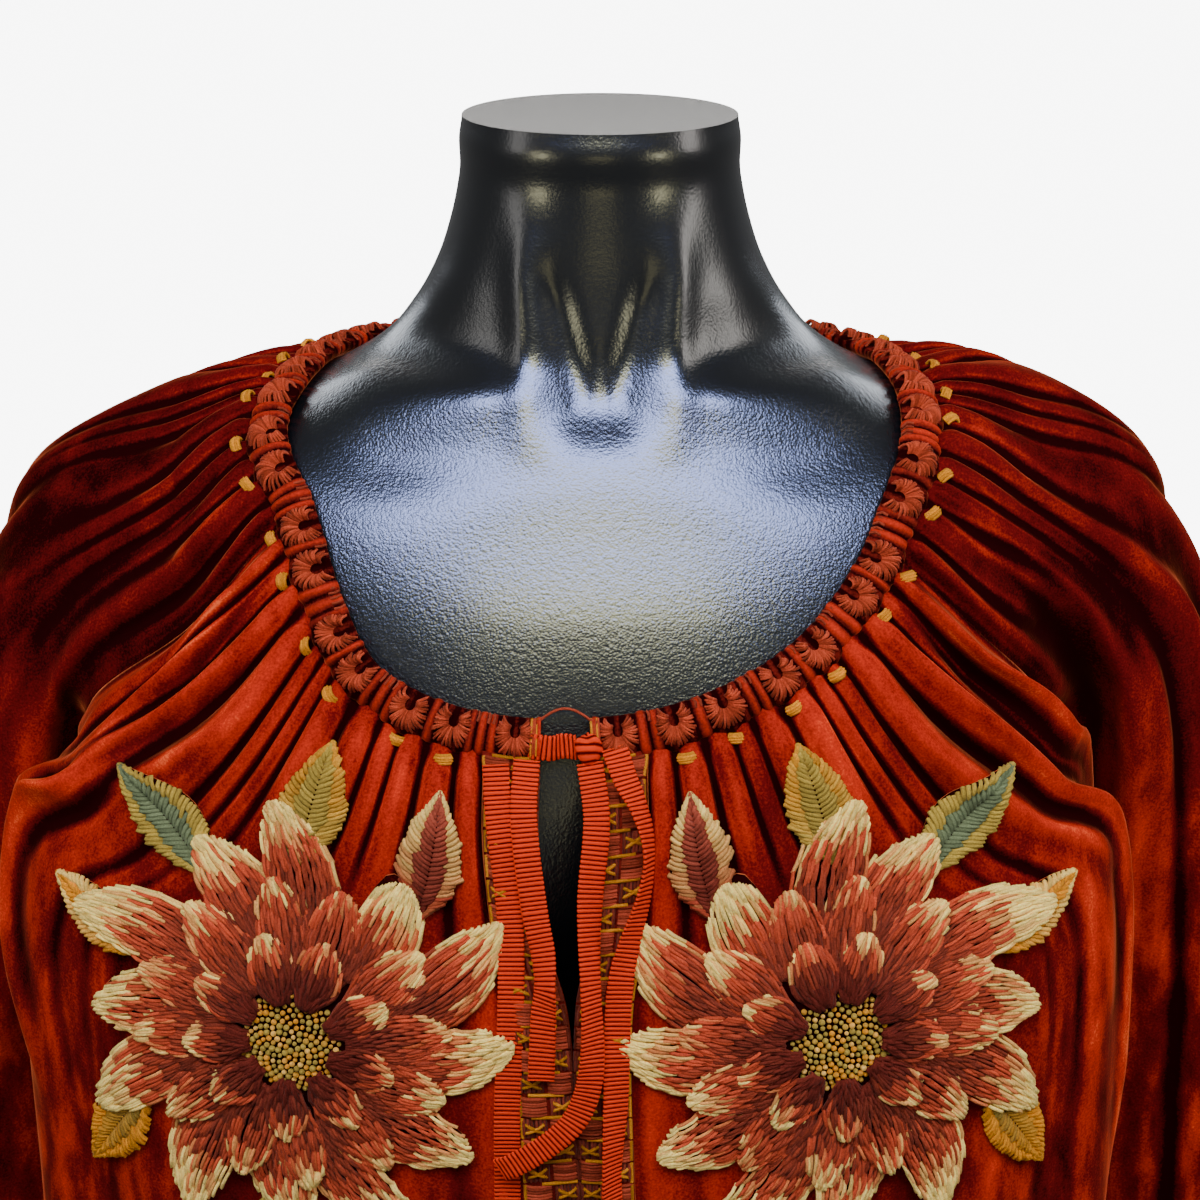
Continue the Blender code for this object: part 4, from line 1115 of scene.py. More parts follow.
@dataclass
class Tunic:
    """The front, the back and both sleeves."""

    form: TorsoForm
    pattern: Pattern
    finish: Finish
    back_columns: int = 32
    sleeve_columns: int = 28
    slit_end: float = 3.0
    bloom_x: float = 0.104
    bloom_z: float = 0.448
    stitched_radius: float = 0.090
    pleat_steps: int = 6
    yoke_steps: tuple[int, int, int] = (34, 22, 20)
    body_steps: tuple[int, int] = (28, 16)
    sleeve_steps: tuple[int, int, int] = (16, 22, 18)
    front: Panel = field(init=False)
    back: Panel = field(init=False)
    sleeves: dict[Side, Panel] = field(init=False)
    half_columns: Array = field(init=False)

    def rows(self, steps: tuple[int, ...], start: float = 0.0) -> Array:
        """Row positions with this many steps in each stretch between key sections."""
        parts = [start + k + np.arange(count) / count for k, count in enumerate(steps)]
        return np.concatenate([*parts, [start + len(steps)]])

    def calm(self, points: Array) -> Array:
        """1 on free cloth, and near 0 where close stitching keeps it flat."""
        share = np.ones(points.shape[:-1])
        for side in Side:
            across = (points[..., 0] - side.value * self.bloom_x - FRONT_SHIFT) / self.stitched_radius
            up = (points[..., 2] - self.bloom_z) / self.stitched_radius
            share *= 1 - 0.94 * np.exp(-((across**2 + up**2) ** 3)) * (points[..., 1] < 0)
        return share

    def cut(self) -> None:
        """Lofts the four panels and brings them together at their seams."""
        pattern = self.pattern
        placket = np.linspace(0, pattern.placket_columns, 13)
        rest = np.arange(pattern.placket_columns, pattern.half_columns + 0.01, 1 / self.pleat_steps)
        self.half_columns = np.concatenate([placket, rest[1:]])
        halves = {side: pattern.front_keys(side, self.half_columns) for side in Side}
        seams = {side: keys[:, -1] for side, keys in halves.items()}
        at = pattern.off_slit(self.half_columns, pattern.raglan_front, pattern.slit_half_widths[0])
        away = {side: pattern.neckline.edge(side, at)[1] for side in Side}
        yoke = self.rows(self.yoke_steps)
        rows = np.concatenate([yoke[:-1], self.rows(self.body_steps, 3.0)])
        keys = np.concatenate([halves[Side.LEFT][:, ::-1], halves[Side.RIGHT]], axis=1)
        neck = np.concatenate([away[Side.LEFT][::-1], away[Side.RIGHT]])
        self.front = Panel("front", keys, rows, self.half_columns, 1, neck, self.form)

        shares = np.linspace(0, 1, self.back_columns * self.pleat_steps + 1)
        back_keys = pattern.back_keys(seams, shares)
        self.back = Panel("back", back_keys, rows, shares, 1, pattern.back_away(shares), self.form)

        shares = np.linspace(0, 1, self.sleeve_columns * self.pleat_steps + 1)
        rows = np.concatenate([yoke[:-1], self.rows(self.sleeve_steps, 3.0)])
        self.sleeves = {}
        for side in Side:
            back_column = 0 if side is Side.RIGHT else -1
            keys = pattern.sleeve_keys(side, seams[side], back_keys[:, back_column], shares)
            end = pattern.neckline.length(side) - pattern.raglan_back
            neck = pattern.neckline.edge(side, np.linspace(pattern.raglan_front, end, len(shares)))[1]
            name = "sleeve_" + side.word
            self.sleeves[side] = Panel(name, keys, rows, shares, side.value, neck, self.form)

        raglan = slice(0, len(yoke))
        below = slice(len(yoke) - 1, None)
        for side, sleeve in self.sleeves.items():
            front_column = -1 if side is Side.RIGHT else 0
            back_column = 0 if side is Side.RIGHT else -1
            self.back.meet(back_column, self.front, front_column, below)
            sleeve.meet(0, self.front, front_column, raglan)
            sleeve.meet(-1, self.back, back_column, raglan)
            sleeve.meet(-1, sleeve, 0, below)
        for panel in self.panels():
            panel.face_out(8)

    def panels(self) -> list[Panel]:
        """All four panels."""
        return [self.front, self.back, *self.sleeves.values()]

    def drape(self) -> None:
        """Raises every panel's pleats, folds and creases."""
        pattern = self.pattern
        count = (pattern.half_columns - pattern.placket_columns) // 2
        gathers = Gathers(pattern.placket_columns, count)
        both = len(self.half_columns)
        front_columns = np.concatenate([self.half_columns[::-1], self.half_columns])
        shared = Folds(9.0, 0.0080, 0.25, 0.520, 0.036)
        front, calm = self.front, self.calm(self.front.grid)
        flat, plain = front.grid, front.nap
        halves = []
        for side, part in ((Side.LEFT, slice(0, both)), (Side.RIGHT, slice(both, 2 * both))):
            front.grid, front.nap = flat.copy(), plain.copy()
            front.face_out(8)
            front.ruffle(front_columns, gathers, shared, FRONT_CREASES[side], calm)
            halves.append((front.grid[:, part], front.nap[:, part]))
        front.grid, front.nap = [np.concatenate(parts, axis=1) for parts in zip(*halves)]
        front.face_out(2)

        columns = np.linspace(0, self.back_columns, self.back.grid.shape[1])
        gathers = Gathers(0, self.back_columns // 2)
        ones = np.ones(self.back.grid.shape[:2])
        self.back.ruffle(columns, gathers, Folds(6.0, 0.0070, 0.10, 0.560, 0.036), BACK_CREASES, ones)
        for side, sleeve in self.sleeves.items():
            columns = np.linspace(0, self.sleeve_columns, sleeve.grid.shape[1])
            gathers = Gathers(0, self.sleeve_columns // 2, run=0.46)
            gathers.heights = tuple(height * 0.66 for height in gathers.heights)
            ones = np.ones(sleeve.grid.shape[:2])
            # Painted shade: the sleeves darker, most on the shoulders' tops.
            sleeve.nap -= 0.07 + 0.20 * ease((sleeve.grid[..., 2] - 0.50) / 0.08)
            hanging = Folds(5.0, 0.0055, 0.80, 0.600, 0.075)
            sleeve.ruffle(columns, gathers, hanging, SLEEVE_CREASES[side], ones)

    def front_cells(self) -> Faces:
        """The front's faces, open along the slit and closed below it."""
        grid = self.front.grid
        width = grid.shape[1]
        left = len(self.half_columns) - 1
        right = left + 1
        end = int(np.searchsorted(self.front.rows, self.slit_end - 1e-9))
        grid[end:, left] = grid[end:, right] = (grid[end:, left] + grid[end:, right]) / 2
        cells = []
        for cell in grid_faces(len(grid), width):
            if min(i % width for i in cell) != left:
                cells.append([i - (i % width == right and i // width >= end) for i in cell])
        return cells

    def build(self) -> list[Piece]:
        """Makes the four pieces.

        Returns:
            The pieces.
        """
        made = [self.front.build(self.front_cells(), self.finish)]
        for panel in self.panels()[1:]:
            cells = grid_faces(*panel.grid.shape[:2], panel.facing)
            made.append(panel.build(cells, self.finish))
        return made

    def tree(self) -> BVHTree:
        """A search tree over the outer skins of all panels."""
        points, faces = [], []
        for panel in self.panels():
            start = len(points)
            points += panel.grid.reshape(-1, 3).tolist()
            faces += [[start + index for index in face] for face in grid_faces(*panel.grid.shape[:2])]
        return BVHTree.FromPolygons(points, faces)


@dataclass
class Ground:
    """The front's foremost surface on an upright grid, which thick stitching bridges."""

    tree: BVHTree
    low: tuple[float, float] = (-0.232, 0.300)
    high: tuple[float, float] = (0.206, 0.600)
    step: float = 0.002
    depth: Array = field(init=False)

    def __post_init__(self) -> None:
        """Finds the surface, takes the foremost of each neighbourhood and evens it out."""
        xs = np.arange(self.low[0], self.high[0], self.step)
        zs = np.arange(self.low[1], self.high[1], self.step)
        depth = np.zeros((len(zs), len(xs)))
        for i, z in enumerate(zs):
            for j, x in enumerate(xs):
                place = self.tree.ray_cast(Vector((x, -0.6, z)), Vector((0, 1, 0)))[0]
                depth[i, j] = place.y if place else 0.0
        for gather in (np.min,) * 2 + (np.mean,) * 5:
            padded = np.pad(depth, 1, mode="edge")
            windows = [padded[a : a + len(zs), b : b + len(xs)] for a in range(3) for b in range(3)]
            depth = gather(windows, axis=0)
        self.depth = depth

    def front(self, x: Array, z: Array) -> Array:
        """How far forward the stitched surface lies."""
        u = np.clip((np.asarray(x) - self.low[0]) / self.step, 0, self.depth.shape[1] - 1.001)
        v = np.clip((np.asarray(z) - self.low[1]) / self.step, 0, self.depth.shape[0] - 1.001)
        i, j = v.astype(int), u.astype(int)
        a, b = v - i, u - j
        low = self.depth[i, j] * (1 - b) + self.depth[i, j + 1] * b
        high = self.depth[i + 1, j] * (1 - b) + self.depth[i + 1, j + 1] * b
        return low * (1 - a) + high * a

    def lifted(self, x: Array, z: Array, lift: Array) -> Array:
        """Points over the surface, moved straight out of it.

        Args:
            x: Places across.
            z: Heights.
            lift: How far each stands out, in metres.

        Returns:
            The points.
        """
        y = self.front(x, z)
        slope_x = (self.front(x + self.step, z) - self.front(x - self.step, z)) / (2 * self.step)
        slope_z = (self.front(x, z + self.step) - self.front(x, z - self.step)) / (2 * self.step)
        way = unit(np.stack([slope_x, -np.ones_like(y), slope_z], axis=-1))
        return np.stack([x, y, z], axis=-1) + way * np.asarray(lift)[..., None]


# Threads, and the colours of the wool as seen

MAROON: Colour = (0.120, 0.019, 0.014)
BROWN: Colour = (0.190, 0.034, 0.021)
BRICK: Colour = (0.340, 0.054, 0.028)
CORAL: Colour = (0.580, 0.082, 0.036)
ROSE: Colour = (0.380, 0.078, 0.048)
CREAM: Colour = (0.980, 0.740, 0.230)
GOLD: Colour = (0.680, 0.270, 0.020)
OLIVE: Colour = (0.440, 0.310, 0.062)
MOSS: Colour = (0.270, 0.195, 0.042)
TEAL: Colour = (0.150, 0.190, 0.105)


def geometry_tree(name: str, inputs: dict, kinds: dict, links: list) -> bpy.types.NodeTree:
    """Builds a node tree that makes shapes and gives them the finish that it is handed.

    Args:
        name: Its name.
        inputs: The kind of each further input, by its name.
        kinds: The kind of each node of its own, by a short word.
        links: Its links, each as a node, its output, another node and its input.

    Returns:
        The tree.
    """
    tree = bpy.data.node_groups.new(name, "GeometryNodeTree")
    for key, kind in {"Geometry": "Geometry", **inputs, "Finish": "Material"}.items():
        tree.interface.new_socket(name=key, in_out="INPUT", socket_type="NodeSocket" + kind)
    tree.interface.new_socket(name="Geometry", in_out="OUTPUT", socket_type="NodeSocketGeometry")
    ends = {"start": "NodeGroupInput", "end": "NodeGroupOutput"}
    dressing = {"smooth": "SetShadeSmooth", "real": "RealizeInstances", "dress": "SetMaterial"}
    kinds = {**ends, **kinds, **{word: "GeometryNode" + kind for word, kind in dressing.items()}}
    nodes = {word: tree.nodes.new(kind) for word, kind in kinds.items()}
    chain = [("smooth", "real"), ("real", "dress"), ("dress", "end")]
    links = [*links, ("start", "Finish", "dress", "Material")]
    links += [(first, "Geometry", second, "Geometry") for first, second in chain]
    for first, output, second, entry in links:
        tree.links.new(nodes[first].outputs[output], nodes[second].inputs[entry])
    return tree


def node_of(tree: bpy.types.NodeTree, kind: str) -> bpy.types.Node:
    """A tree's node of one kind."""
    return next(node for node in tree.nodes if node.bl_idname.endswith(kind))


def paint_thread(mesh: bpy.types.Mesh, colours: Array) -> None:
    """Stores the thread's colour on each point."""
    attribute = mesh.attributes.new("thread_colour", "FLOAT_COLOR", "POINT")
    shades = np.column_stack([colours, np.ones(len(colours))])
    attribute.data.foreach_set("color", shades.astype(np.float32).ravel())


@dataclass
class ThreadRuns:
    """Many short threads, which Geometry Nodes turn from lines into round thread."""

    name: str
    finish: Finish
    radius: float = 0.00048
    sides: int = 4
    paths: list[Array] = field(default_factory=list)
    colours: list[Colour] = field(default_factory=list)

    def lay(self, path: Array, colour: Colour) -> None:
        """Adds one thread."""
        self.paths.append(np.asarray(path, float))
        self.colours.append(tuple(colour))

    def tree(self) -> bpy.types.NodeTree:
        """The node tree that gives a line its round section."""
        kinds = {
            "curve": "GeometryNodeMeshToCurve",
            "circle": "GeometryNodeCurvePrimitiveCircle",
            "tube": "GeometryNodeCurveToMesh",
        }
        links = [
            ("start", "Geometry", "curve", "Mesh"),
            ("start", "Thread radius", "circle", "Radius"),
            ("start", "Sides", "circle", "Resolution"),
            ("curve", "Curve", "tube", "Curve"),
            ("circle", "Curve", "tube", "Profile Curve"),
            ("tube", "Mesh", "smooth", "Geometry"),
        ]
        tree = geometry_tree("thread_runs", {"Thread radius": "Float", "Sides": "Int"}, kinds, links)
        node_of(tree, "CurveToMesh").inputs["Fill Caps"].default_value = True
        return tree

    def build(self, slot: str) -> Piece:
        """Makes the threads one plain mesh.

        Args:
            slot: Not used.

        Returns:
            The piece.
        """
        sizes = [len(path) for path in self.paths]
        starts = np.concatenate([[0], np.cumsum(sizes)[:-1]])
        edges = [(start + k, start + k + 1) for start, size in zip(starts, sizes) for k in range(size - 1)]
        mesh = bpy.data.meshes.new(self.name + "_lines")
        mesh.from_pydata(np.concatenate(self.paths).tolist(), edges, [])
        paint_thread(mesh, np.repeat(np.array(self.colours), sizes, axis=0))
        inputs = {"Thread radius": self.radius, "Sides": self.sides, "Finish": self.finish}
        return realised(self.name, mesh, self.tree(), inputs)


@dataclass
class Seeds:
    """Small knots of thread, which Geometry Nodes set on points."""

    name: str
    finish: Finish
    radius: float = 0.0010
    points: list[Array] = field(default_factory=list)
    colours: list[Colour] = field(default_factory=list)

    def tie(self, point: Array, colour: Colour) -> None:
        """Adds one knot."""
        self.points.append(np.asarray(point, float))
        self.colours.append(tuple(colour))

    def tree(self) -> bpy.types.NodeTree:
        """The node tree that sets a knot on each point."""
        kinds = {
            "ball": "GeometryNodeMeshIcoSphere",
            "size": "FunctionNodeRandomValue",
            "scatter": "GeometryNodeInstanceOnPoints",
        }
        links = [
            ("start", "Geometry", "scatter", "Points"),
            ("start", "Knot radius", "ball", "Radius"),
            ("start", "Seed", "size", "Seed"),
            ("ball", "Mesh", "scatter", "Instance"),
            ("size", 1, "scatter", "Scale"),
            ("scatter", "Instances", "smooth", "Geometry"),
        ]
        tree = geometry_tree("seed_knots", {"Knot radius": "Float", "Seed": "Int"}, kinds, links)
        node_of(tree, "MeshIcoSphere").inputs["Subdivisions"].default_value = 2
        size = node_of(tree, "RandomValue")
        size.inputs[2].default_value = 0.75
        size.inputs[3].default_value = 1.15
        return tree

    def build(self, slot: str) -> Piece:
        """Makes the knots one plain mesh."""
        mesh = bpy.data.meshes.new(self.name + "_points")
        mesh.from_pydata(np.array(self.points).tolist(), [], [])
        paint_thread(mesh, np.array(self.colours))
        inputs = {"Knot radius": self.radius, "Seed": SEED, "Finish": self.finish}
        return realised(self.name, mesh, self.tree(), inputs)


def realised(
    name: str, mesh: bpy.types.Mesh, tree: bpy.types.NodeTree, inputs: dict
) -> Piece:
    """Runs a node tree over a mesh and keeps the result as a plain piece.

    Args:
        name: The piece's name.
        mesh: What the tree starts from.
        tree: The node tree.
        inputs: The tree's inputs by name.

    Returns:
        The piece.
    """
    source = bpy.data.objects.new(name + "_source", mesh)
    bpy.context.scene.collection.objects.link(source)
    modifier = source.modifiers.new("thread", "NODES")
    modifier.node_group = tree
    for item in tree.interface.items_tree:
        if item.in_out == "INPUT" and item.name in inputs:
            modifier[item.identifier] = inputs[item.name]
    bpy.context.view_layer.update()
    shape = source.evaluated_get(bpy.context.evaluated_depsgraph_get())
    made = bpy.data.meshes.new_from_object(shape)
    made.name = name
    bpy.data.objects.remove(source)
    piece = bpy.data.objects.new(name, made)
    bpy.context.scene.collection.objects.link(piece)
    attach(piece, "root")
    return piece


# The neckband


@dataclass
class Neckband:
    """The ruched casing round the neck, with eyelet fans of thread and a gold knot below each."""

    neckline: Neckline
    velvet: Finish
    thread: Finish
    slit: float = 0.0095
    stations: int = 1000
    corners: int = 20
    half_height: float = 0.0084
    half_thickness: float = 0.0042
    ruche_pitch: float = 0.0050
    ruche_depth: float = 0.0028
    fan_pitch: float = 0.0214
    fan_radius: float = 0.0090
    fan_threads: int = 32
    fan_centre: float = 0.0052
    dimple: float = 0.0024
    line: Array = field(init=False)
    away: Array = field(init=False)
    down: Array = field(init=False)
    along: Array = field(init=False)
    fans: Array = field(init=False)

    def __post_init__(self) -> None:
        """Reads the band's line and spaces the fans along it."""
        self.line, self.away, self.down = self.neckline.ring(self.slit, self.stations)
        self.along = lengths_along(self.line)
        count = round(self.along[-1] / self.fan_pitch)
        places = (np.arange(count) + 0.5) / count * self.along[-1]
        self.fans = places + 0.0022 * np.sin(2.9 * np.arange(count))

    def surface(self, along: Array, below: Array, lift: Array) -> Array:
        """Points on the band.

        Args:
            along: Distances along the band.
            below: Distances below its upper edge.
            lift: How far each stands off the band.

        Returns:
            The points.
        """
        line, away, down = read_at([self.line, self.away, self.down], self.along, along)
        height = self.half_height
        drop = np.clip(below / height - 1, -1, 1)
        proud = self.half_thickness * np.sqrt(np.clip(1 - drop**2, 0, 1))
        return line + down * (drop * height)[:, None] + away * (proud + lift)[:, None]

    def casing(self) -> Piece:
        """Makes the ruched velvet tube."""
        near_fan = np.min(np.abs(self.along[:, None] - self.fans[None, :]), axis=1)
        under_fan = 1 - ease((near_fan - 0.005) / 0.003)
        drift = 0.35 * np.sin(self.along * 95) + 0.2 * np.sin(self.along * 41)
        phase = self.along / self.ruche_pitch + drift
        crest = np.abs(np.sin(math.pi * phase)) ** 0.6
        size = 1 + 0.35 * np.sin(2.1 * np.floor(phase))
        rings = []
        for k in range(self.corners):
            turn = 2 * math.pi * k / self.corners
            drop, proud = -math.sin(turn), math.cos(turn)
            ruche = self.ruche_depth * (crest * size - 0.55) * (1 - 0.8 * under_fan)
            ruche = ruche * (0.45 + 0.55 * max(proud, 0))
            dent = 0.0030 * hump(near_fan, 0, 0.0026) * max(0.0, -drop + 0.5) * max(proud, 0)
            depth = self.half_thickness * proud + ruche * max(proud, 0.1) - dent
            scallop = 0.0011 * np.cos(math.pi * np.clip(near_fan / 0.0105, 0, 1)) * (drop > 0)
            rise = self.half_height * drop + (ruche * 0.7 + scallop) * np.sign(drop) * abs(drop)
            rings.append(self.line + self.down * rise[:, None] + self.away * depth[:, None])
        grid = np.stack(rings, axis=1)
        flat = np.maximum(self.neckline.form.off(grid.reshape(-1, 3))[0], -1).reshape(grid.shape[:2])
        grid = self.neckline.form.clear(grid, 0.0006) if flat.min() < 0.0006 else grid
        faces = tube_faces(len(grid), self.corners)
        piece = mesh_piece("neckband_casing", grid.reshape(-1, 3), faces, self.velvet)
        # Painted highlight on the ruches' crests, painted shade in their grooves and under the fans.
        painted_shade_and_highlight = 0.30 + 0.95 * (crest - 0.62) - 0.40 * under_fan
        paint(piece, "nap", np.repeat(painted_shade_and_highlight, self.corners))
        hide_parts("neckband")
        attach(piece, "root")
        return piece

    def stitches(self, cloth: BVHTree) -> list[Piece]:
        """Makes the eyelet fans, the overcast edge between them and the gold knots.

        Args:
            cloth: The panels' outer skins.

        Returns:
            The pieces.
        """
        pick = np.random.default_rng(SEED)
        runs = ThreadRuns("neckband_eyelets", self.thread, radius=0.00056)
        knots = ThreadRuns("neckband_gold_knots", self.thread, radius=0.00072)
        inner, outer = self.dimple, self.fan_radius
        for fan in self.fans:
            for k in range(self.fan_threads):
                turn = -0.75 + (math.pi + 1.5) * (k + 0.5) / self.fan_threads + pick.normal(0, 0.03)
                length = outer * (1 + pick.normal(0, 0.05)) * (0.80 + 0.20 * math.sin(turn))
                reach = np.linspace(inner, length, 6)
                along = fan - reach * math.cos(turn)
                below = np.clip(self.fan_centre + reach * math.sin(turn) * 1.18, -0.0004, 0.0158)
                lift = -0.0018 + 0.0044 * np.sin(math.pi * np.linspace(0.02, 0.97, 6)) ** 0.6
                shade = np.array(CORAL) * pick.uniform(0.34, 0.92)
                runs.lay(self.surface(along, below, lift), tuple(shade))
            self.gold_knot(knots, cloth, fan + pick.normal(0, 0.0008), pick)
        below = np.array([-0.0002, 0.0012, 0.0034])
        lift = np.array([0.0002, 0.0008, 0.0003])
        for place in np.arange(0.002, self.along[-1] - 0.002, 0.0021):
            if np.min(np.abs(self.fans - place)) < outer * 0.9:
                continue
            shade = np.array(BRICK) * pick.uniform(0.6, 0.9)
            runs.lay(self.surface(place + np.array([0, 0.0006, 0.0002]), below, lift), tuple(shade))
        below = np.linspace(0.0002, 0.0158, 7)
        lift = 0.0003 + 0.0010 * np.sin(math.pi * np.linspace(0, 1, 7))
        for start in (0.0, self.along[-1] - 0.0040):
            for k in range(5):
                place = start + 0.0006 + 0.0007 * k
                shade = np.array(GOLD if k in (0, 3) else CORAL) * pick.uniform(0.55, 0.95)
                runs.lay(self.surface(np.full(7, place), below, lift), tuple(shade))
        tips = np.array([0.001, self.along[-1] - 0.001])
        first, last = self.surface(tips, np.full(2, 0.001), np.zeros(2))
        share = np.linspace(0, 1, 16)[:, None]
        arc = last + (first - last) * share
        arc = arc + np.array([0, -0.001, 0.0055]) * np.sin(math.pi * share)
        runs.lay(arc, BRICK)
        return [runs.build("neckband"), knots.build("bloom")]

    def gold_knot(self, knots: ThreadRuns, cloth: BVHTree, along: float, pick: np.random.Generator) -> None:
        """Lays one plump knot of gold thread on the cloth below the band."""
        tables = [self.line, self.away, self.down]
        line, away, down = [part[0] for part in read_at(tables, self.along, np.array([along]))]
        across = np.cross(away, down)
        start = line + down * (self.neckline.half_height + 0.0042) + away * 0.03
        hit = cloth.ray_cast(Vector(start), Vector(-away))[0]
        if hit is None:
            return
        middle = np.array(hit) + away * 0.0004
        turn = pick.normal(0.3, 0.4)
        way = across * math.cos(turn) + down * math.sin(turn)
        beside = np.cross(away, way)
        for row in (-1.4, -0.5, 0.5, 1.4):
            spread = np.array([[-1.0], [-0.6], [0.0], [0.6], [1.0]]) * (0.0036 - 0.0006 * abs(row))
            lift = np.array([[-0.0004], [0.0014], [0.0021], [0.0014], [-0.0004]]) - 0.0003 * abs(row)
            shade = np.array(GOLD) * pick.uniform(0.75, 1.15)
            knots.lay(middle + way * spread + beside * row * 0.00105 + away * lift, tuple(shade))


# The embroidery


class Petal(NamedTuple):
    """A ring of petals: how many, from which to which radius, how wide, how raised, and its shades."""

    count: int
    offset: float
    root: float
    tip: float
    half_width: float
    lift: float
    shades: tuple[Colour, ...]


PETAL_RINGS = [
    Petal(12, 0.5, 0.034, 0.086, 0.0138, 0.0012, (BROWN, BROWN, BRICK, CORAL, CREAM, CREAM)),
    Petal(12, 0.0, 0.022, 0.062, 0.0112, 0.0024, (MAROON, BROWN, BRICK, CORAL, CREAM)),
    Petal(9, 0.3, 0.016, 0.041, 0.0090, 0.0038, (MAROON, MAROON, BROWN, CORAL, CREAM)),
]


class LeafPlan(NamedTuple):
    """A leaf beside a bloom: the direction of its root, its lean, its size and its shades."""

    name: str
    direction: float
    lean: float
    length: float
    width: float
    inner: tuple[Colour, ...]
    rim: tuple[Colour, ...]


LEAVES = [
    LeafPlan("bud", 130, 108, 0.036, 0.025, (MAROON, ROSE), (BRICK, CREAM)),
    LeafPlan("top", 94, 100, 0.034, 0.026, (MOSS, OLIVE), (OLIVE, GOLD)),
    LeafPlan("upper", 60, 52, 0.036, 0.027, (TEAL, TEAL), (OLIVE, OLIVE)),
    LeafPlan("outer", 24, 30, 0.026, 0.021, (GOLD, GOLD), (GOLD, CREAM)),
    LeafPlan("lower", -32, -50, 0.030, 0.023, (MOSS, GOLD), (GOLD, GOLD)),
    LeafPlan("foot", -84, -100, 0.036, 0.026, (MOSS, TEAL), (OLIVE, OLIVE)),
]


def shade_at(shades: tuple[Colour, ...], place: float) -> Array:
    """Reads a colour along a row of shades, from 0 to 1."""
    table = np.array(shades)
    at = np.clip(place, 0, 1) * (len(table) - 1)
    return np.array([np.interp(at, np.arange(len(table)), table[:, k]) for k in range(3)])


@dataclass
class Embroidery:
    """One side's bloom and leaves in thick satin stitch, over padding that bridges the pleats."""

    side: Side
    ground: Ground
    padding: Finish
    thread: Finish
    across: float = 0.104
    height: float = 0.448
    radius: float = 0.077
    petals: int = 12
    swirl: float = 0.20
    pitch: float = 0.00126
    stitch: float = 0.0100
    thread_radius: float = 0.00082
    leaf_pitch: float = 0.0019
    leaf_thread_radius: float = 0.00105
    leaf_gap: float = 0.0035
    leaf_tuck: float = 0.0130
    centre_radius: float = 0.0200
    seeds: int = 210

    def place(self, out: Array, turn: Array) -> tuple[Array, Array]:
        """Places at a distance and a direction from the bloom's centre, clockwise from the top."""
        turn = turn + self.swirl * (out / self.radius) ** 2
        x = self.side.value * self.across + FRONT_SHIFT + self.side.value * out * np.sin(turn)
        return x, self.height + out * np.cos(turn)

    def plate(self) -> Piece:
        """Makes the padding below the bloom's stitches."""
        spokes, rings = 144, 26
        turn = np.linspace(0, 2 * math.pi, spokes, endpoint=False)
        lobe = np.abs(np.cos(self.petals / 2 * turn)) ** 3
        grid = []
        for share in np.linspace(0, 1, rings):
            out = self.radius * share * (1 - 0.30 * lobe * ease((share - 0.4) / 0.5))
            lift = 0.0002 + 0.0016 * (1 - share**6) + 0.0014 * hump(share, 0.25, 0.3)
            lift = lift - 0.0007 * lobe * share
            grid.append(self.ground.lifted(*self.place(out, turn), np.broadcast_to(lift, turn.shape)))
        high = np.stack(grid)
        low = high + np.array([0, 0.0016, 0])
        cells = pole_faces(rings, spokes, -self.side.value, top=False)
        piece = wall_piece("bloom_padding_" + self.side.word, high, low, cells, self.padding)
        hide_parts("bloom_" + self.side.word)
        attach(piece, "root")
        return piece

    def sew_petal(self, runs: ThreadRuns, ring: Petal, index: int, pick: np.random.Generator) -> None:
        """Fills one petal with long and short stitches from its root to its tip."""
        middle = 2 * math.pi * (index + ring.offset) / ring.count
        size = 1 + 0.10 * math.sin(2.4 * index + ring.count)
        middle += 0.05 * math.sin(1.9 * index + 2 * ring.count)
        tint = 0.10 * math.sin(3.3 * index + ring.count)
        tip = ring.tip * (1 if ring.lift > 0.002 else size)
        length = tip - ring.root
        columns = int(2 * ring.half_width / self.pitch)
        for column in range(columns + 1):
            across = 2 * column / columns - 1 + pick.normal(0, 0.02)
            start = -pick.uniform(0, 0.9) * self.stitch
            end = length * (1 - 0.20 * abs(across) ** 2.5)
            while start < end - 0.003:
                reach = np.clip(start + self.stitch * np.array([0, 1 / 3, 2 / 3, 1]), 0, end)
                if reach[-1] - reach[0] > 0.0025:
                    share = reach / length
                    wide = ring.half_width * np.sin(math.pi * np.clip(0.16 + 0.73 * share, 0, 1)) ** 0.62
                    wide = wide * (0.55 + 0.45 * ease(share / 0.5))
                    out = ring.root + reach
                    turn = middle + across * wide / out
                    x, z = self.place(out, turn)
                    dome = 0.0014 * (1 - across**2) + 0.0008 * across
                    arch = 0.0010 * np.array([-0.9, 0.9, 0.9, -0.7])
                    lift = ring.lift + dome + arch + 0.0008
                    place = (reach.mean() / length) ** 1.1 + tint + pick.normal(0, 0.09)
                    edge = 0.16 * (abs(across) > 0.86)
                    shade = shade_at(ring.shades, place + edge) * pick.uniform(0.72, 1.16)
                    runs.lay(self.ground.lifted(x, z, lift), tuple(shade))
                start += self.stitch * 0.86

    def sew_leaf(self, runs: ThreadRuns, leaf: LeafPlan, pick: np.random.Generator) -> Piece:
        """Sews a leaf's slanting stitches on both sides of its midrib, over its padding."""
        root_turn, lean = math.radians(leaf.direction), math.radians(leaf.lean)
        way = np.array([math.cos(lean), math.sin(lean)])
        root = np.array([math.cos(root_turn), math.sin(root_turn)]) * (self.radius + self.leaf_gap)
        root = root - way * self.leaf_tuck
        leaf = leaf._replace(length=leaf.length + self.leaf_tuck)
        beside = np.array([-math.sin(lean), math.cos(lean)])
        mirror = np.array([self.side.value, 1.0])
        home = np.array([self.side.value * self.across + FRONT_SHIFT, self.height])
        curl = 0.12 * leaf.length * (1 if leaf.name in ("top", "outer", "foot") else -1)

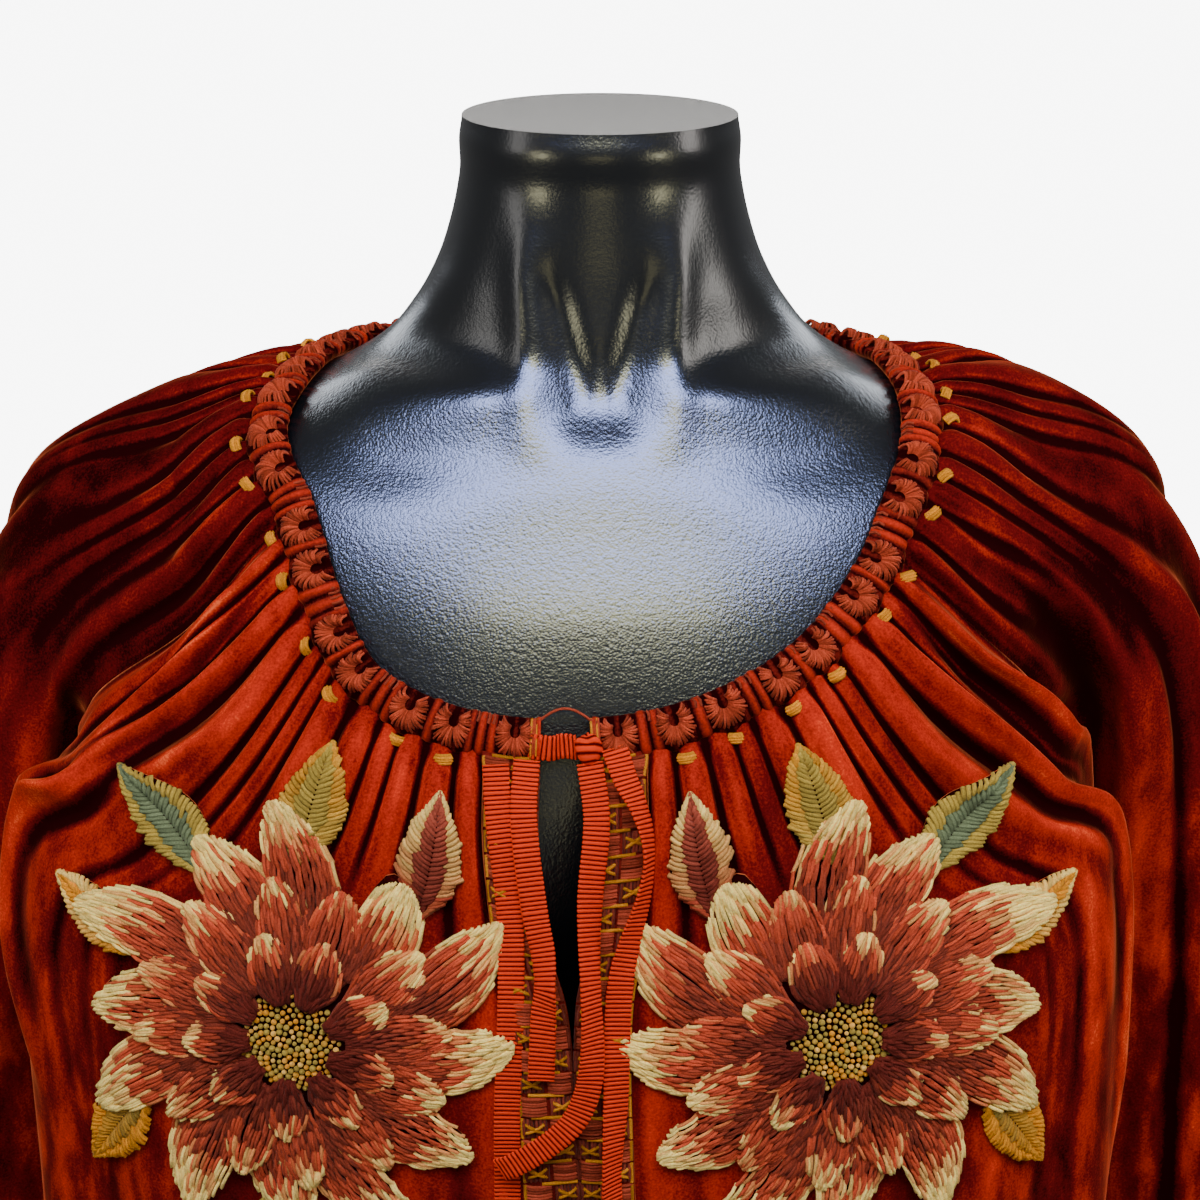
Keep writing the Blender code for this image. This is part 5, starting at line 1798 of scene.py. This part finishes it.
        def spot(along: Array, off: Array) -> tuple[Array, Array]:
            """A place on the leaf, from its length and half width."""
            bend = curl * (along / leaf.length) ** 2
            flat = root + np.multiply.outer(along, way) + np.multiply.outer(off + bend, beside)
            x, z = (home + mirror * flat).T
            return x, z

        def half(share: Array) -> Array:
            """The leaf's half width at shares of its length."""
            return leaf.width / 2 * np.sin(math.pi * share) ** 0.85 * (1.05 - 0.25 * share)

        stations, rows, slant = 24, 9, 0.0074
        share = (1 - np.cos(math.pi * np.arange(stations) / (stations - 1))) / 2
        grid = []
        for off in np.linspace(-1, 1, rows):
            x, z = spot(share * leaf.length, off * half(share))
            lift = 0.0001 + 0.0011 * (1 - abs(off) ** 3) * np.ones(stations)
            grid.append(self.ground.lifted(x, z, lift))
        high = np.stack(grid)
        low = high + np.array([0, 0.0012, 0])
        cells = grid_faces(rows, stations, -self.side.value)
        name = "leaf_" + leaf.name + "_" + self.side.word
        piece = wall_piece(name + "_padding", high, low, cells, self.padding)
        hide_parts(name)
        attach(piece, "root")
        for along in np.arange(-0.004, leaf.length, self.leaf_pitch):
            for hand in (-1, 1):
                seam = 0.55 + pick.normal(0, 0.07)
                rim = 1.02 + pick.normal(0, 0.06)
                for near, far, shades in ((0.03, seam, leaf.inner), (seam - 0.06, rim, leaf.rim)):
                    across = near + (far - near) * np.array([0, 0.35, 0.7, 1])
                    place = np.clip((along + slant * across) / leaf.length, 0.0, 1.0)
                    x, z = spot(place * leaf.length, hand * half(place) * across)
                    lift = 0.0014 + 0.0011 * np.array([-0.6, 0.8, 0.8, -0.8])
                    shade = shade_at(shades, along / leaf.length + pick.normal(0, 0.08))
                    shade = shade * pick.uniform(0.72, 1.15)
                    runs.lay(self.ground.lifted(x, z, lift), tuple(shade))
        return piece

    def build(self) -> list[Piece]:
        """Makes the padding, the stitches and the stippled centre.

        Returns:
            The pieces.
        """
        pick = np.random.default_rng(SEED + self.side.value)
        word = self.side.word
        runs = ThreadRuns("bloom_stitches_" + word, self.thread, radius=self.thread_radius)
        for ring in PETAL_RINGS:
            for index in range(ring.count):
                self.sew_petal(runs, ring, index, pick)
        leaves = ThreadRuns("leaf_stitches_" + word, self.thread, radius=self.leaf_thread_radius)
        made = [self.plate()]
        made += [self.sew_leaf(leaves, leaf, pick) for leaf in LEAVES]
        seeds = Seeds("bloom_seeds_" + word, self.thread, radius=0.00115)
        golden = math.pi * (3 - math.sqrt(5))
        for k in range(self.seeds):
            out = self.centre_radius * math.sqrt((k + 0.5) / self.seeds)
            x, z = self.place(np.array([out]), np.array([k * golden]))
            lift = 0.0034 + 0.0022 * (1 - (out / self.centre_radius) ** 2)
            shade = shade_at((MOSS, OLIVE, GOLD, CREAM), pick.uniform(0.1, 0.85))
            seeds.tie(self.ground.lifted(x, z, np.array([lift]))[0], tuple(shade))
        made += [runs.build("bloom"), leaves.build("leaf"), seeds.build("bloom")]
        return made


# The placket bands


@dataclass
class Placket:
    """A stitched band beside the slit: velvet under a gold lattice and coral blocks."""

    side: Side
    tunic: Tunic
    velvet: Finish
    thread: Finish
    end: float = 3.7
    off: float = 0.0005
    thickness: float = 0.0014
    cell: float = 0.0094

    def grid(self) -> tuple[Array, Array]:
        """The front's points under the band, from the slit outwards, and the ways out there."""
        front, half = self.tunic.front, len(self.tunic.half_columns)
        last = int(np.searchsorted(front.rows, self.end))
        columns = slice(half, half + 13) if self.side is Side.RIGHT else slice(half - 1, half - 14, -1)
        grid = front.grid[: last + 1, columns].copy()
        out = front.out[: last + 1, columns]
        grid[:, 0] += unit(grid[:, 1] - grid[:, 0]) * SEAM_GAP / 2
        return grid, out

    def build(self) -> list[Piece]:
        """Makes the band and its stitches.

        Returns:
            The pieces.
        """
        pick = np.random.default_rng(SEED + 10 + self.side.value)
        word = self.side.word
        grid, out = self.grid()
        rows, columns = grid.shape[:2]
        bulge = np.sin(math.pi * np.linspace(0, 1, columns)) ** 0.5 * 0.0006
        high = grid + out * (self.off + self.thickness + bulge)[..., None]
        low = grid + out * self.off
        cells = grid_faces(rows, columns, self.side.value)
        band = wall_piece("placket_band_" + word, high, low, cells, self.velvet)
        paint(band, "nap", np.full(2 * rows * columns, 0.30))
        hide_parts("placket_" + word)
        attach(band, "root")

        along = lengths_along(high[:, columns // 2])
        share = np.linspace(0, 1, columns)

        def spot(across: Array, down: Array, lift: Array) -> Array:
            """Points on the band from shares across it and distances down it."""
            across, down, lift = np.broadcast_arrays(across, down, lift)
            row = np.interp(down, along, np.arange(rows))
            column = np.interp(across, share, np.arange(columns))
            i = np.clip(row.astype(int), 0, rows - 2)
            j = np.clip(column.astype(int), 0, columns - 2)
            a, b = (row - i)[..., None], (column - j)[..., None]
            near = high[i, j] * (1 - b) + high[i, j + 1] * b
            far = high[i + 1, j] * (1 - b) + high[i + 1, j + 1] * b
            return near * (1 - a) + far * a + out[i, j] * lift[..., None]

        runs = ThreadRuns("placket_stitches_" + word, self.thread, radius=0.00078)
        hump_lift = 0.0002 + 0.0013 * np.array([0, 0.8, 1, 0.8, 0])
        for index, top in enumerate(np.arange(0.001, along[-1] - self.cell, self.cell)):
            for k, left in enumerate((0.04, 0.53)):
                middle = left + 0.215
                if (index + k) % 2:
                    for thread in range(7):
                        down = top + self.cell * (0.10 + 0.80 * thread / 6) + pick.normal(0, 0.0002)
                        shade = np.array(BRICK) * pick.uniform(0.5, 1.3)
                        path = spot(np.linspace(left, left + 0.43, 5), down, hump_lift)
                        runs.lay(path, tuple(shade))
                    continue
                for thread in range(6):
                    across = middle + 0.07 * (thread - 2.5) + pick.normal(0, 0.008)
                    down = np.linspace(top + 0.0008, top + self.cell - 0.0008, 5)
                    shade = np.array(BROWN) * pick.uniform(0.6, 1.3)
                    runs.lay(spot(np.full(5, across), down, hump_lift * 0.8), tuple(shade))
                for slant in (-0.12, 0.12):
                    shade = np.array(GOLD) * pick.uniform(0.45, 0.85)
                    across = middle + np.linspace(-0.16, 0.16, 5)
                    down = top + self.cell * (0.5 + np.linspace(-slant, slant, 5) * 1.6)
                    runs.lay(spot(across, down, hump_lift + 0.0007), tuple(shade))
            shade = np.array(GOLD) * pick.uniform(0.45, 0.85)
            start = pick.uniform(0.03, 0.25)
            path = spot(np.linspace(start, start + 0.62, 9), np.full(9, top), np.full(9, 0.0011))
            runs.lay(path, tuple(shade))
            for across, wool in ((0.03, BROWN), (0.96, GOLD)):
                down = np.linspace(top + 0.0006, top + self.cell - 0.0006, 6)
                shade = np.array(wool) * pick.uniform(0.5, 0.9)
                runs.lay(spot(np.full(6, across), down, np.full(6, 0.0006)), tuple(shade))
        return [band, runs.build("placket")]


# The ribbons


class RibbonStation(NamedTuple):
    """A place on a ribbon: across from the front centre, clear of the cloth, height and turn."""

    x: float
    off: float
    z: float
    turn: float


RIBBON_ROWS = {
    "ribbon_strap": [
        (-0.0135, 0.0006, 0.5600, 0),
        (-0.0050, 0.0016, 0.5590, 0),
        (0.0039, 0.0066, 0.5594, 0),
    ],
    "ribbon_loop_left": [
        (-0.0145, -0.0006, 0.5549, 0),
        (-0.0155, 0.0030, 0.5360, 0),
        (-0.0115, 0.0045, 0.5040, -8),
        (-0.0082, 0.0050, 0.4880, -22),
        (-0.0076, 0.0055, 0.4760, -38),
        (-0.0082, 0.0050, 0.4640, -18),
        (-0.0092, 0.0050, 0.4390, 0),
    ],
    "ribbon_tail_left": [
        (-0.0262, 0.0010, 0.5540, 0),
        (-0.0250, 0.0010, 0.5360, 0),
        (-0.0210, 0.0010, 0.5040, 0),
        (-0.0205, 0.0010, 0.4700, 0),
        (-0.0222, 0.0010, 0.4250, 0),
        (-0.0225, 0.0010, 0.3900, 0),
        (-0.0230, 0.0010, 0.3550, 0),
    ],
    "ribbon_loop_right": [
        (0.0184, 0.0016, 0.5600, 8),
        (0.0222, 0.0034, 0.5510, 26),
        (0.0270, 0.0038, 0.5425, 46),
        (0.0304, 0.0040, 0.5330, 60),
        (0.0312, 0.0040, 0.5220, 68),
        (0.0288, 0.0035, 0.5080, 55),
        (0.0245, 0.0028, 0.4930, 35),
        (0.0208, 0.0022, 0.4770, 15),
        (0.0195, 0.0020, 0.4550, 5),
        (0.0190, 0.0020, 0.4300, 20),
        (0.0175, 0.0020, 0.3980, 45),
        (0.0180, 0.0020, 0.3700, 20),
    ],
    "ribbon_tail_right": [
        (0.0092, 0.0007, 0.5543, 0),
        (0.0118, 0.0040, 0.5360, 0),
        (0.0095, 0.0045, 0.5110, 15),
        (0.0090, 0.0050, 0.4920, 35),
        (0.0098, 0.0055, 0.4700, 42),
        (0.0102, 0.0058, 0.4520, 28),
        (0.0085, 0.0062, 0.4360, 8),
        (0.0035, 0.0065, 0.4230, 0),
        (-0.0050, 0.0067, 0.4140, 0),
        (-0.0150, 0.0067, 0.4070, 0),
        (-0.0250, 0.0062, 0.4010, 0),
    ],
}
RIBBONS = {name: [RibbonStation(*row) for row in rows] for name, rows in RIBBON_ROWS.items()}


def hit(tree: BVHTree, x: float, z: float) -> float:
    """How far forward the nearest thing lies, seen from straight in front."""
    return float(tree.ray_cast(Vector((x, -0.6, z)), Vector((0, 1, 0)))[0].y)


@dataclass
class Ties:
    """The ribbed ribbons that tie the slit, each run its own piece, and their knot."""

    behind: BVHTree
    finish: Finish
    width: float = 0.0100
    sampled_width: float = 0.0095
    thickness: float = 0.0011
    rib_pitch: float = 0.0018
    rib_depth: float = 0.00036
    rib_steps: int = 6
    knot_half_size: Place = (0.0050, 0.0033, 0.0060)
    knot_place: Place = (0.0088, -0.0005, 0.5590)

    def path(self, stations: list[RibbonStation]) -> tuple[Array, Array]:
        """A ribbon's middle line, and its turn at each point.

        Args:
            stations: The given stations.

        Returns:
            Points and turns in radians.
        """
        table = np.array(stations)
        at = np.linspace(0, len(table) - 1, 3 * (len(table) - 1) + 1)
        x, off, z, turn = smooth(np.arange(len(table)), table, at).T
        x = x + FRONT_SHIFT
        half = self.sampled_width / 2
        beside = [(across, up) for across in (-half, 0, half) for up in (-0.005, 0, 0.005)]
        nearest = [min(hit(self.behind, px + i, pz + j) for i, j in beside) for px, pz in zip(x, z)]
        soft = np.convolve(np.pad(nearest, 1, mode="edge"), [0.25, 0.5, 0.25], mode="valid")
        lean = np.abs(np.sin(np.radians(turn))) * half
        y = np.minimum(soft, nearest) - off - lean - self.thickness / 2
        return np.stack([x, y, z], axis=1), np.radians(turn)

    def run(self, name: str, stations: list[RibbonStation]) -> Piece:
        """Makes one ribbon with its cross ribs."""
        path, turn = self.path(stations)
        coarse = lengths_along(path)
        count = int(coarse[-1] / self.rib_pitch) * self.rib_steps + 1
        at = np.linspace(0, coarse[-1], count)
        rank = np.interp(at, coarse, np.arange(len(path)))
        path = smooth(np.arange(len(path)), path, rank)
        turn = smooth(np.arange(len(turn)), turn, rank)
        along = unit(np.gradient(path, axis=0))
        facing = np.stack([np.sin(turn), -np.cos(turn), np.zeros(len(turn))], axis=1)
        facing = unit(facing - along * np.sum(facing * along, axis=1, keepdims=True))
        across = np.cross(along, facing)
        rib = 0.5 + 0.5 * np.cos(2 * math.pi * np.arange(count) / self.rib_steps)
        places = [-1.0, -0.93, -0.5, 0.0, 0.5, 0.93, 1.0]
        loops = []
        for sign in (1, -1):
            for place in places[:: -sign]:
                bead = 0.00016 * (abs(place) == 0.93)
                deep = self.thickness / 2 - self.rib_depth * (1 - rib) + bead
                deep = sign * deep * (1 if abs(place) < 1 else 0.45)
                wide = self.width / 2 * place + 0.00034 * (rib - 0.6) * (abs(place) == 1) * np.sign(place)
                loops.append(path + across * wide[:, None] + facing * deep[:, None])
        points = np.stack(loops, axis=1).reshape(-1, 3)
        piece = mesh_piece(name + "_grosgrain", points, tube_faces(count, len(loops)), self.finish)
        # The rib value also gives the painted shade in the grooves.
        paint(piece, "rib", np.repeat(rib, len(loops)))
        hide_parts(name)
        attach(piece, "root")
        return piece

    def knot(self) -> Piece:
        """Makes the knot, a ribbed wrap of ribbon round the crossing of the ties."""
        across, off, z = self.knot_place
        x = across + FRONT_SHIFT
        wide, deep, tall = self.knot_half_size
        beside = [(wide * i, tall * j) for i in (-1, 0, 1) for j in (-1, 0, 1)]
        near = min(hit(self.behind, x + i, z + j) for i, j in beside)
        middle = np.array([x, near - off - deep * 0.92, z])
        rows, turns = 40, 72
        up = np.linspace(-math.pi / 2, math.pi / 2, rows)
        turn = np.linspace(0, 2 * math.pi, turns, endpoint=False)
        a, b = np.meshgrid(up, turn, indexing="ij")
        lump = 1 + 0.10 * np.sin(2 * b + 2.4 * a) + 0.06 * np.sin(3 * b - 3 * a)
        rib = 0.5 + 0.5 * np.cos(7 * (a * 1.5 + 0.5 * np.sin(b)))
        size = (lump + 0.035 * rib)[..., None]
        ball = np.stack([np.cos(a) * np.cos(b), np.cos(a) * np.sin(b), np.sin(a)], axis=-1)
        grid = middle + ball * size * np.array(self.knot_half_size)
        grid[0] = grid[0].mean(axis=0)
        grid[-1] = grid[-1].mean(axis=0)
        faces = pole_faces(rows, turns, -1)
        piece = mesh_piece("ribbon_knot_wrap", grid.reshape(-1, 3), faces, self.finish)
        # The rib value also gives the painted shade in the grooves.
        paint(piece, "rib", rib.reshape(-1)[used_points(faces)])
        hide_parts("ribbon_knot")
        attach(piece, "root")
        return piece

    def build(self) -> list[Piece]:
        """Makes the knot and every run."""
        return [self.knot()] + [self.run(name, stations) for name, stations in RIBBONS.items()]


# The studio


class Light(NamedTuple):
    """A soft rectangular light, or a card, which only shows as a reflection."""

    name: str
    place: Place
    target: Place
    size: tuple[float, float]
    power: float
    colour: Colour
    card: bool = False


CHEST = (0.0, -0.05, 0.60)
NECK = (0.0, -0.05, 0.72)
KEY_LIGHT = Light("key_above", (-0.05, -0.95, 1.46), CHEST, (1.3, 0.6), 18.0, (1.0, 0.96, 0.92))
LIGHTS = [
    Light("side_left", (-1.35, -0.55, 0.95), CHEST, (0.35, 0.9), 3.0, (1.0, 0.97, 0.93)),
    Light("side_right", (1.35, -0.35, 1.0), CHEST, (0.35, 0.9), 7.0, (1.0, 0.95, 0.90)),
    Light("back_above", (0.0, 1.60, 1.50), CHEST, (1.3, 0.6), 12.0, (1.0, 0.97, 0.93)),
    Light("cool_card", (-0.02, -0.92, 1.46), CHEST, (1.35, 0.42), 66.0, (0.42, 0.52, 1.0), True),
    Light("warm_card", (0.0, -1.50, 1.34), CHEST, (0.8, 0.30), 14.0, (1.0, 0.97, 0.50), True),
    Light("low_card", (0.0, -1.70, 0.22), NECK, (0.6, 0.20), 1.0, (1.0, 0.90, 0.45), True),
    Light("low_side_left", (-1.15, -1.05, 0.42), NECK, (0.3, 0.28), 3.4, (1.0, 0.95, 0.6), True),
    Light("rear_left", (-1.3, 1.3, 1.45), NECK, (1.0, 0.9), 16.0, (0.86, 0.92, 1.0), True),
    Light("low_side_right", (1.15, -1.05, 0.42), NECK, (0.3, 0.28), 3.4, (1.0, 0.95, 0.6), True),
    Light("rear_right", (1.3, 1.3, 1.45), NECK, (1.0, 0.9), 16.0, (0.86, 0.92, 1.0), True),
]


@dataclass
class Studio:
    """Pale floor, soft lights and the camera."""

    camera_place: Place = (0.0, -1.151, 0.953)
    camera_target: Place = (0.0, -0.105, 0.613)
    lens: float = 88.0
    floor_half: float = 14.0
    floor_glow: float = 8.0
    fill: float = 0.16

    def floor(self) -> None:
        """A plain white floor."""
        nodes = Nodes("pale_floor")
        nodes.set(Base_Color=(0.9, 0.9, 0.9, 1), Roughness=0.9, Specular_IOR_Level=0.1)
        nodes.set(Emission_Color=(1, 1, 1, 1), Emission_Strength=self.floor_glow)
        half = self.floor_half
        corners = np.array([(-half, -half, 0), (half, -half, 0), (half, half, 0), (-half, half, 0)])
        floor = mesh_piece("studio_floor", corners, [[0, 1, 2, 3]], nodes.material)
        floor.visible_diffuse = False
        floor.visible_glossy = False

    def world(self) -> None:
        """White surroundings that give only a little fill light."""
        world = bpy.data.worlds.new("studio_world")
        world.use_nodes = True
        nodes, links = world.node_tree.nodes, world.node_tree.links
        seen = nodes.new("ShaderNodeLightPath").outputs["Is Camera Ray"]
        strength = nodes.new("ShaderNodeMapRange")
        strength.inputs["To Min"].default_value = self.fill
        strength.inputs["To Max"].default_value = self.floor_glow + 0.4
        links.new(seen, strength.inputs["Value"])
        back = nodes["Background"]
        back.inputs["Color"].default_value = (1, 1, 1, 1)
        links.new(strength.outputs["Result"], back.inputs["Strength"])
        bpy.context.scene.world = world

    def hang(self, light: Light) -> Piece:
        """Hangs one light."""
        data = bpy.data.lights.new(light.name, "AREA")
        data.shape = "RECTANGLE"
        data.size, data.size_y = light.size
        data.energy = light.power
        data.color = light.colour
        lamp = self.aimed(bpy.data.objects.new(light.name, data), light.place, light.target)
        lamp.visible_diffuse = not light.card
        return lamp

    def aimed(self, piece: Piece, place: Place, target: Place) -> Piece:
        """Puts a light or a camera in its place, facing its target."""
        piece.location = place
        piece.rotation_euler = (Vector(target) - Vector(place)).to_track_quat("-Z", "Y").to_euler()
        bpy.context.scene.collection.objects.link(piece)
        return piece

    def build(self) -> None:
        """Sets the floor, the lights and the camera."""
        self.floor()
        self.world()
        self.hang(KEY_LIGHT).visible_glossy = False
        for light in LIGHTS:
            self.hang(light)
        data = bpy.data.cameras.new("photo_camera")
        data.lens = self.lens
        data.sensor_width = 36.0
        camera = bpy.data.objects.new("photo_camera", data)
        bpy.context.scene.camera = self.aimed(camera, self.camera_place, self.camera_target)


def main() -> None:
    """Builds every piece in order and reports it."""
    Studio().build()
    velvet = Velvet().material()
    band_velvet = Velvet(body=(0.22, 0.018, 0.013)).material("band_velvet")
    thread = Thread().material("wool_thread")
    # The padding's darker velvet is painted shade where it shows between the stitches.
    padding = Velvet(body=(0.12, 0.009, 0.006), lit=(0.26, 0.03, 0.012)).material("stitch_padding")
    form = TorsoForm()
    made = [form.build(PebbledGloss().material())]
    neckline = Neckline(form)
    tunic = Tunic(form, Pattern(form, neckline), velvet)
    tunic.cut()
    tunic.drape()
    made += tunic.build()
    cloth = tunic.tree()
    band = Neckband(neckline, band_velvet, thread)
    made.append(band.casing())
    made += band.stitches(cloth)
    ground = Ground(cloth)
    for side in Side:
        made += Placket(side, tunic, band_velvet, thread).build()
        made += Embroidery(side, ground, padding, thread).build()
    behind = ["form_torso", "neckband", "front", "placket_left", "placket_right"]
    behind += ["bloom_left", "bloom_right"]
    points, faces = [], []
    for name in behind:
        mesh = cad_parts[name].data
        faces += [[len(points) + index for index in face.vertices] for face in mesh.polygons]
        points += [vertex.co.copy() for vertex in mesh.vertices]
    made += Ties(BVHTree.FromPolygons(points, faces), Grosgrain().material()).build()
    for piece in made:
        LOG.info("%s: %d faces", piece.name, len(piece.data.polygons))


if __name__ == "__main__":
    logging.basicConfig(level=logging.INFO, format="%(message)s")
    main()
